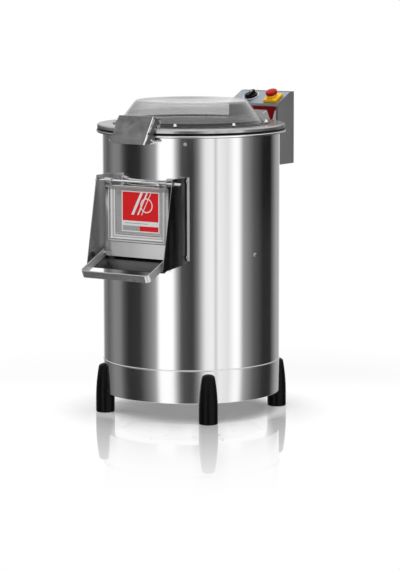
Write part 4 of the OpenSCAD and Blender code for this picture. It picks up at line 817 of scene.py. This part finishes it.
# Camera, fitted to the photograph
camera = bpy.data.objects.new("camera", bpy.data.cameras.new("camera"))
bpy.context.scene.collection.objects.link(camera)
bpy.context.scene.camera = camera
camera.data.lens = 162.19
camera.data.sensor_width = 36
camera.data.clip_end = 100
stand = Vector((4.810819, -7.056007, 1.571145))
yaw, pitch, roll = -0.595017, -0.134064, -0.001569
ahead = Vector((math.sin(yaw) * math.cos(pitch), math.cos(yaw) * math.cos(pitch), math.sin(pitch)))
level_right = ahead.cross(Vector((0, 0, 1))).normalized()
level_up = level_right.cross(ahead)
turned_right = level_right * math.cos(roll) + level_up * math.sin(roll)
turned_up = level_up * math.cos(roll) - level_right * math.sin(roll)
camera.matrix_world = Matrix.Translation(stand) @ Matrix(
    (turned_right, turned_up, -ahead)).transposed().to_4x4()

# Room: white where it is seen or mirrored, dim where it lights
bpy.context.scene.view_settings.view_transform = "Standard"
world = bpy.data.worlds.new("studio")
bpy.context.scene.world = world
world.use_nodes = True
world.cycles.sampling_method = "NONE"
air = Paint(world.node_tree)
seen, shiny, through = (air.add("ShaderNodeLightPath", out=ray) for ray in (
    "Is Camera Ray", "Is Glossy Ray", "Is Transmission Ray"))
room = air.add("ShaderNodeBackground", None, {
    "Color": air.mix(seen.either(shiny).either(through), grey(0.22), grey(1.0)), "Strength": 1.0})
air.close(room, "ShaderNodeOutputWorld")


def studio_piece(name, bm, material, mirrored_only=False):
    """A thing that stands round the object, kept on request to what polished metal mirrors."""
    mesh = bpy.data.meshes.new(name)
    bm.to_mesh(mesh)
    bm.free()
    mesh.materials.append(material)
    piece = bpy.data.objects.new(name, mesh)
    bpy.context.scene.collection.objects.link(piece)
    if mirrored_only:
        material.cycles.emission_sampling = "NONE"
        piece.visible_camera = piece.visible_diffuse = piece.visible_transmission = False
        piece.visible_shadow = False
    return piece


# Ring of soft boxes and dark cards: levels by bearing, low for walls and high for flat tops
ring_radius, ring_height, sky_from, open_from = 12, 24, 0.6, 1.92
card_levels = [
    (-180, 1.0), (-166, 0.85), (-157, 0.28), (-136, 0.13), (-118, 0.27), (-106, 0.25), (-97, 0.09),
    (-88, 0.03), (-70, 0.04), (-58, 0.18), (-46, 0.40), (-41, 1.3), (-24, 1.3), (-19, 0.5),
    (-13, 0.09), (2, 0.04), (9, 0.25), (18, 1.0), (29, 1.1), (31, 0.5), (34, 1.1), (48, 0.9),
    (58, 1.3), (64, 1.2), (70, 0.38), (88, 0.12), (106, 0.03), (124, 0.03), (143, 0.40),
    (158, 0.45), (170, 1.0)]
sky_levels = [
    (-180, 0.42), (-177, 0.75), (-150, 0.65), (-60, 0.60), (0, 0.9), (60, 0.7), (150, 0.5),
    (177, 0.5), (178.6, 0.72), (180, 0.42)]


def round_ramp(paint, bearing, levels):
    """Levels by bearing in degrees, halved so that those over 1 fit a ramp."""
    return paint.ramp(bearing, [((angle + 180) / 360, level / 2) for angle, level in levels])


cards, c = finish("cards")
x, y, z = c.axes()
to_camera = Vector((stand.x, stand.y, 0)).normalized()
to_right = Vector((-to_camera.y, to_camera.x, 0))
forward = x * to_camera.x + y * to_camera.y
sideways = x * to_right.x + y * to_right.y
bearing = sideways.math("ARCTAN2", sideways, forward) / math.tau + 0.5
low_level = round_ramp(c, bearing, card_levels)
low_level = (low_level - ((z + 0.75) / 0.3).kept_in() * 0.010).kept_in()
high_level = round_ramp(c, bearing, sky_levels)
level = c.mix(((z - sky_from) / 0.5).kept_in(), low_level, high_level)
level = c.mix(((z - open_from) / 0.10).kept_in(), level, grey(0.5))
c.close(c.glow(level, 2.0))
bm = bmesh.new()
bmesh.ops.create_cone(bm, cap_ends=False, segments=180, radius1=ring_radius, radius2=ring_radius,
                      depth=ring_height)
bmesh.ops.reverse_faces(bm, faces=bm.faces[:])
card_ring = studio_piece("card_ring", bm, cards, mirrored_only=True)

# Small reflector low in front of the door
card_width, card_height, card_turn = 0.42, 0.235, math.radians(-34.3)
card_at, card_split, card_share = Vector((-0.30, -0.75, 0.582)), 0.515, 2.88
door_card_finish, d = finish("door_card")
x, _, z = d.axes()
along = ((x - card_at.x) * card_share + 0.5).kept_in()
upper = d.ramp(along, [(0.0, 0.62), (0.13, 0.60), (0.18, 0.27), (0.45, 0.28), (0.8, 0.44), (1.0, 0.36)])
lower = d.ramp(along, [(0.0, 0.25), (0.5, 0.44), (0.75, 0.72), (1.0, 0.90)])
d.close(d.glow(d.mix(((z - card_split) / 0.02).kept_in(), lower, upper)))
bm = bmesh.new()
bmesh.ops.create_grid(bm, x_segments=1, y_segments=1, size=0.5)
bmesh.ops.scale(bm, vec=(card_width, card_height, 1), verts=bm.verts[:])
bmesh.ops.rotate(bm, matrix=Matrix.Rotation(math.pi / 2, 3, "X"), verts=bm.verts[:])
bmesh.ops.rotate(bm, matrix=Matrix.Rotation(card_turn, 3, "Z"), verts=bm.verts[:])
bmesh.ops.translate(bm, vec=card_at, verts=bm.verts[:])
door_card = studio_piece("door_card", bm, door_card_finish, mirrored_only=True)

# Pale floor that keeps the shadow, with a faint polish that mirrors the three near feet
floor_radius, floor_drop, shadow_reach = 6, -0.0004, 0.24
foot_sides, strip_half = (-0.289, 0.058, 0.292), 0.036
floor_finish, f = finish("floor")
x, y, _ = f.axes()
reach = (x * x + y * y) ** 0.5
lit = f.add("ShaderNodeBsdfDiffuse", None, {"Color": grey(0.90)})
far_off = ((reach - shadow_reach) / 0.23).kept_in()
ground = f.add("ShaderNodeMixShader", None, {0: far_off, 1: lit, 2: f.glow(grey(1.0))})
polish = f.add("ShaderNodeBsdfGlossy", None, {"Color": grey(1.0), "Roughness": 0.03})
strips = [(1.7 - abs(rightward(x, y) - side) / strip_half).kept_in() for side in foot_sides]
near_foot = strips[0].either(strips[1]).either(strips[2]) * (nearer(x, y) * 4.0 + 0.2).kept_in()
fade = (1.45 - reach).kept_in() * ((reach - shadow_reach) / 0.10).kept_in()
share = fade * (near_foot * 0.36 + 0.17)
f.close(f.add("ShaderNodeMixShader", None, {0: share, 1: ground, 2: polish}))
bm = bmesh.new()
bmesh.ops.create_circle(bm, cap_ends=True, segments=96, radius=floor_radius)
floor = studio_piece("floor", bm, floor_finish)
floor.location.z = floor_drop
floor.visible_glossy = False

# Lamps: place, size in metres and power in watts
aim = Vector((0, 0, 0.5))
for name, place, size, power in (("key", (2.4, -4.6, 4.2), 3.4, 90), ("fill", (-4.5, -2.5, 3.2), 3.0, 40),
                                 ("top", (0.2, 0.1, 4.6), 3.0, 150)):
    light = bpy.data.lights.new(name, "AREA")
    light.size, light.energy = size, power
    lamp = bpy.data.objects.new(name, light)
    lamp.location = place
    lamp.rotation_euler = (aim - Vector(place)).to_track_quat("-Z", "Y").to_euler()
    lamp.visible_glossy = False
    lamp.visible_camera = False
    bpy.context.scene.collection.objects.link(lamp)
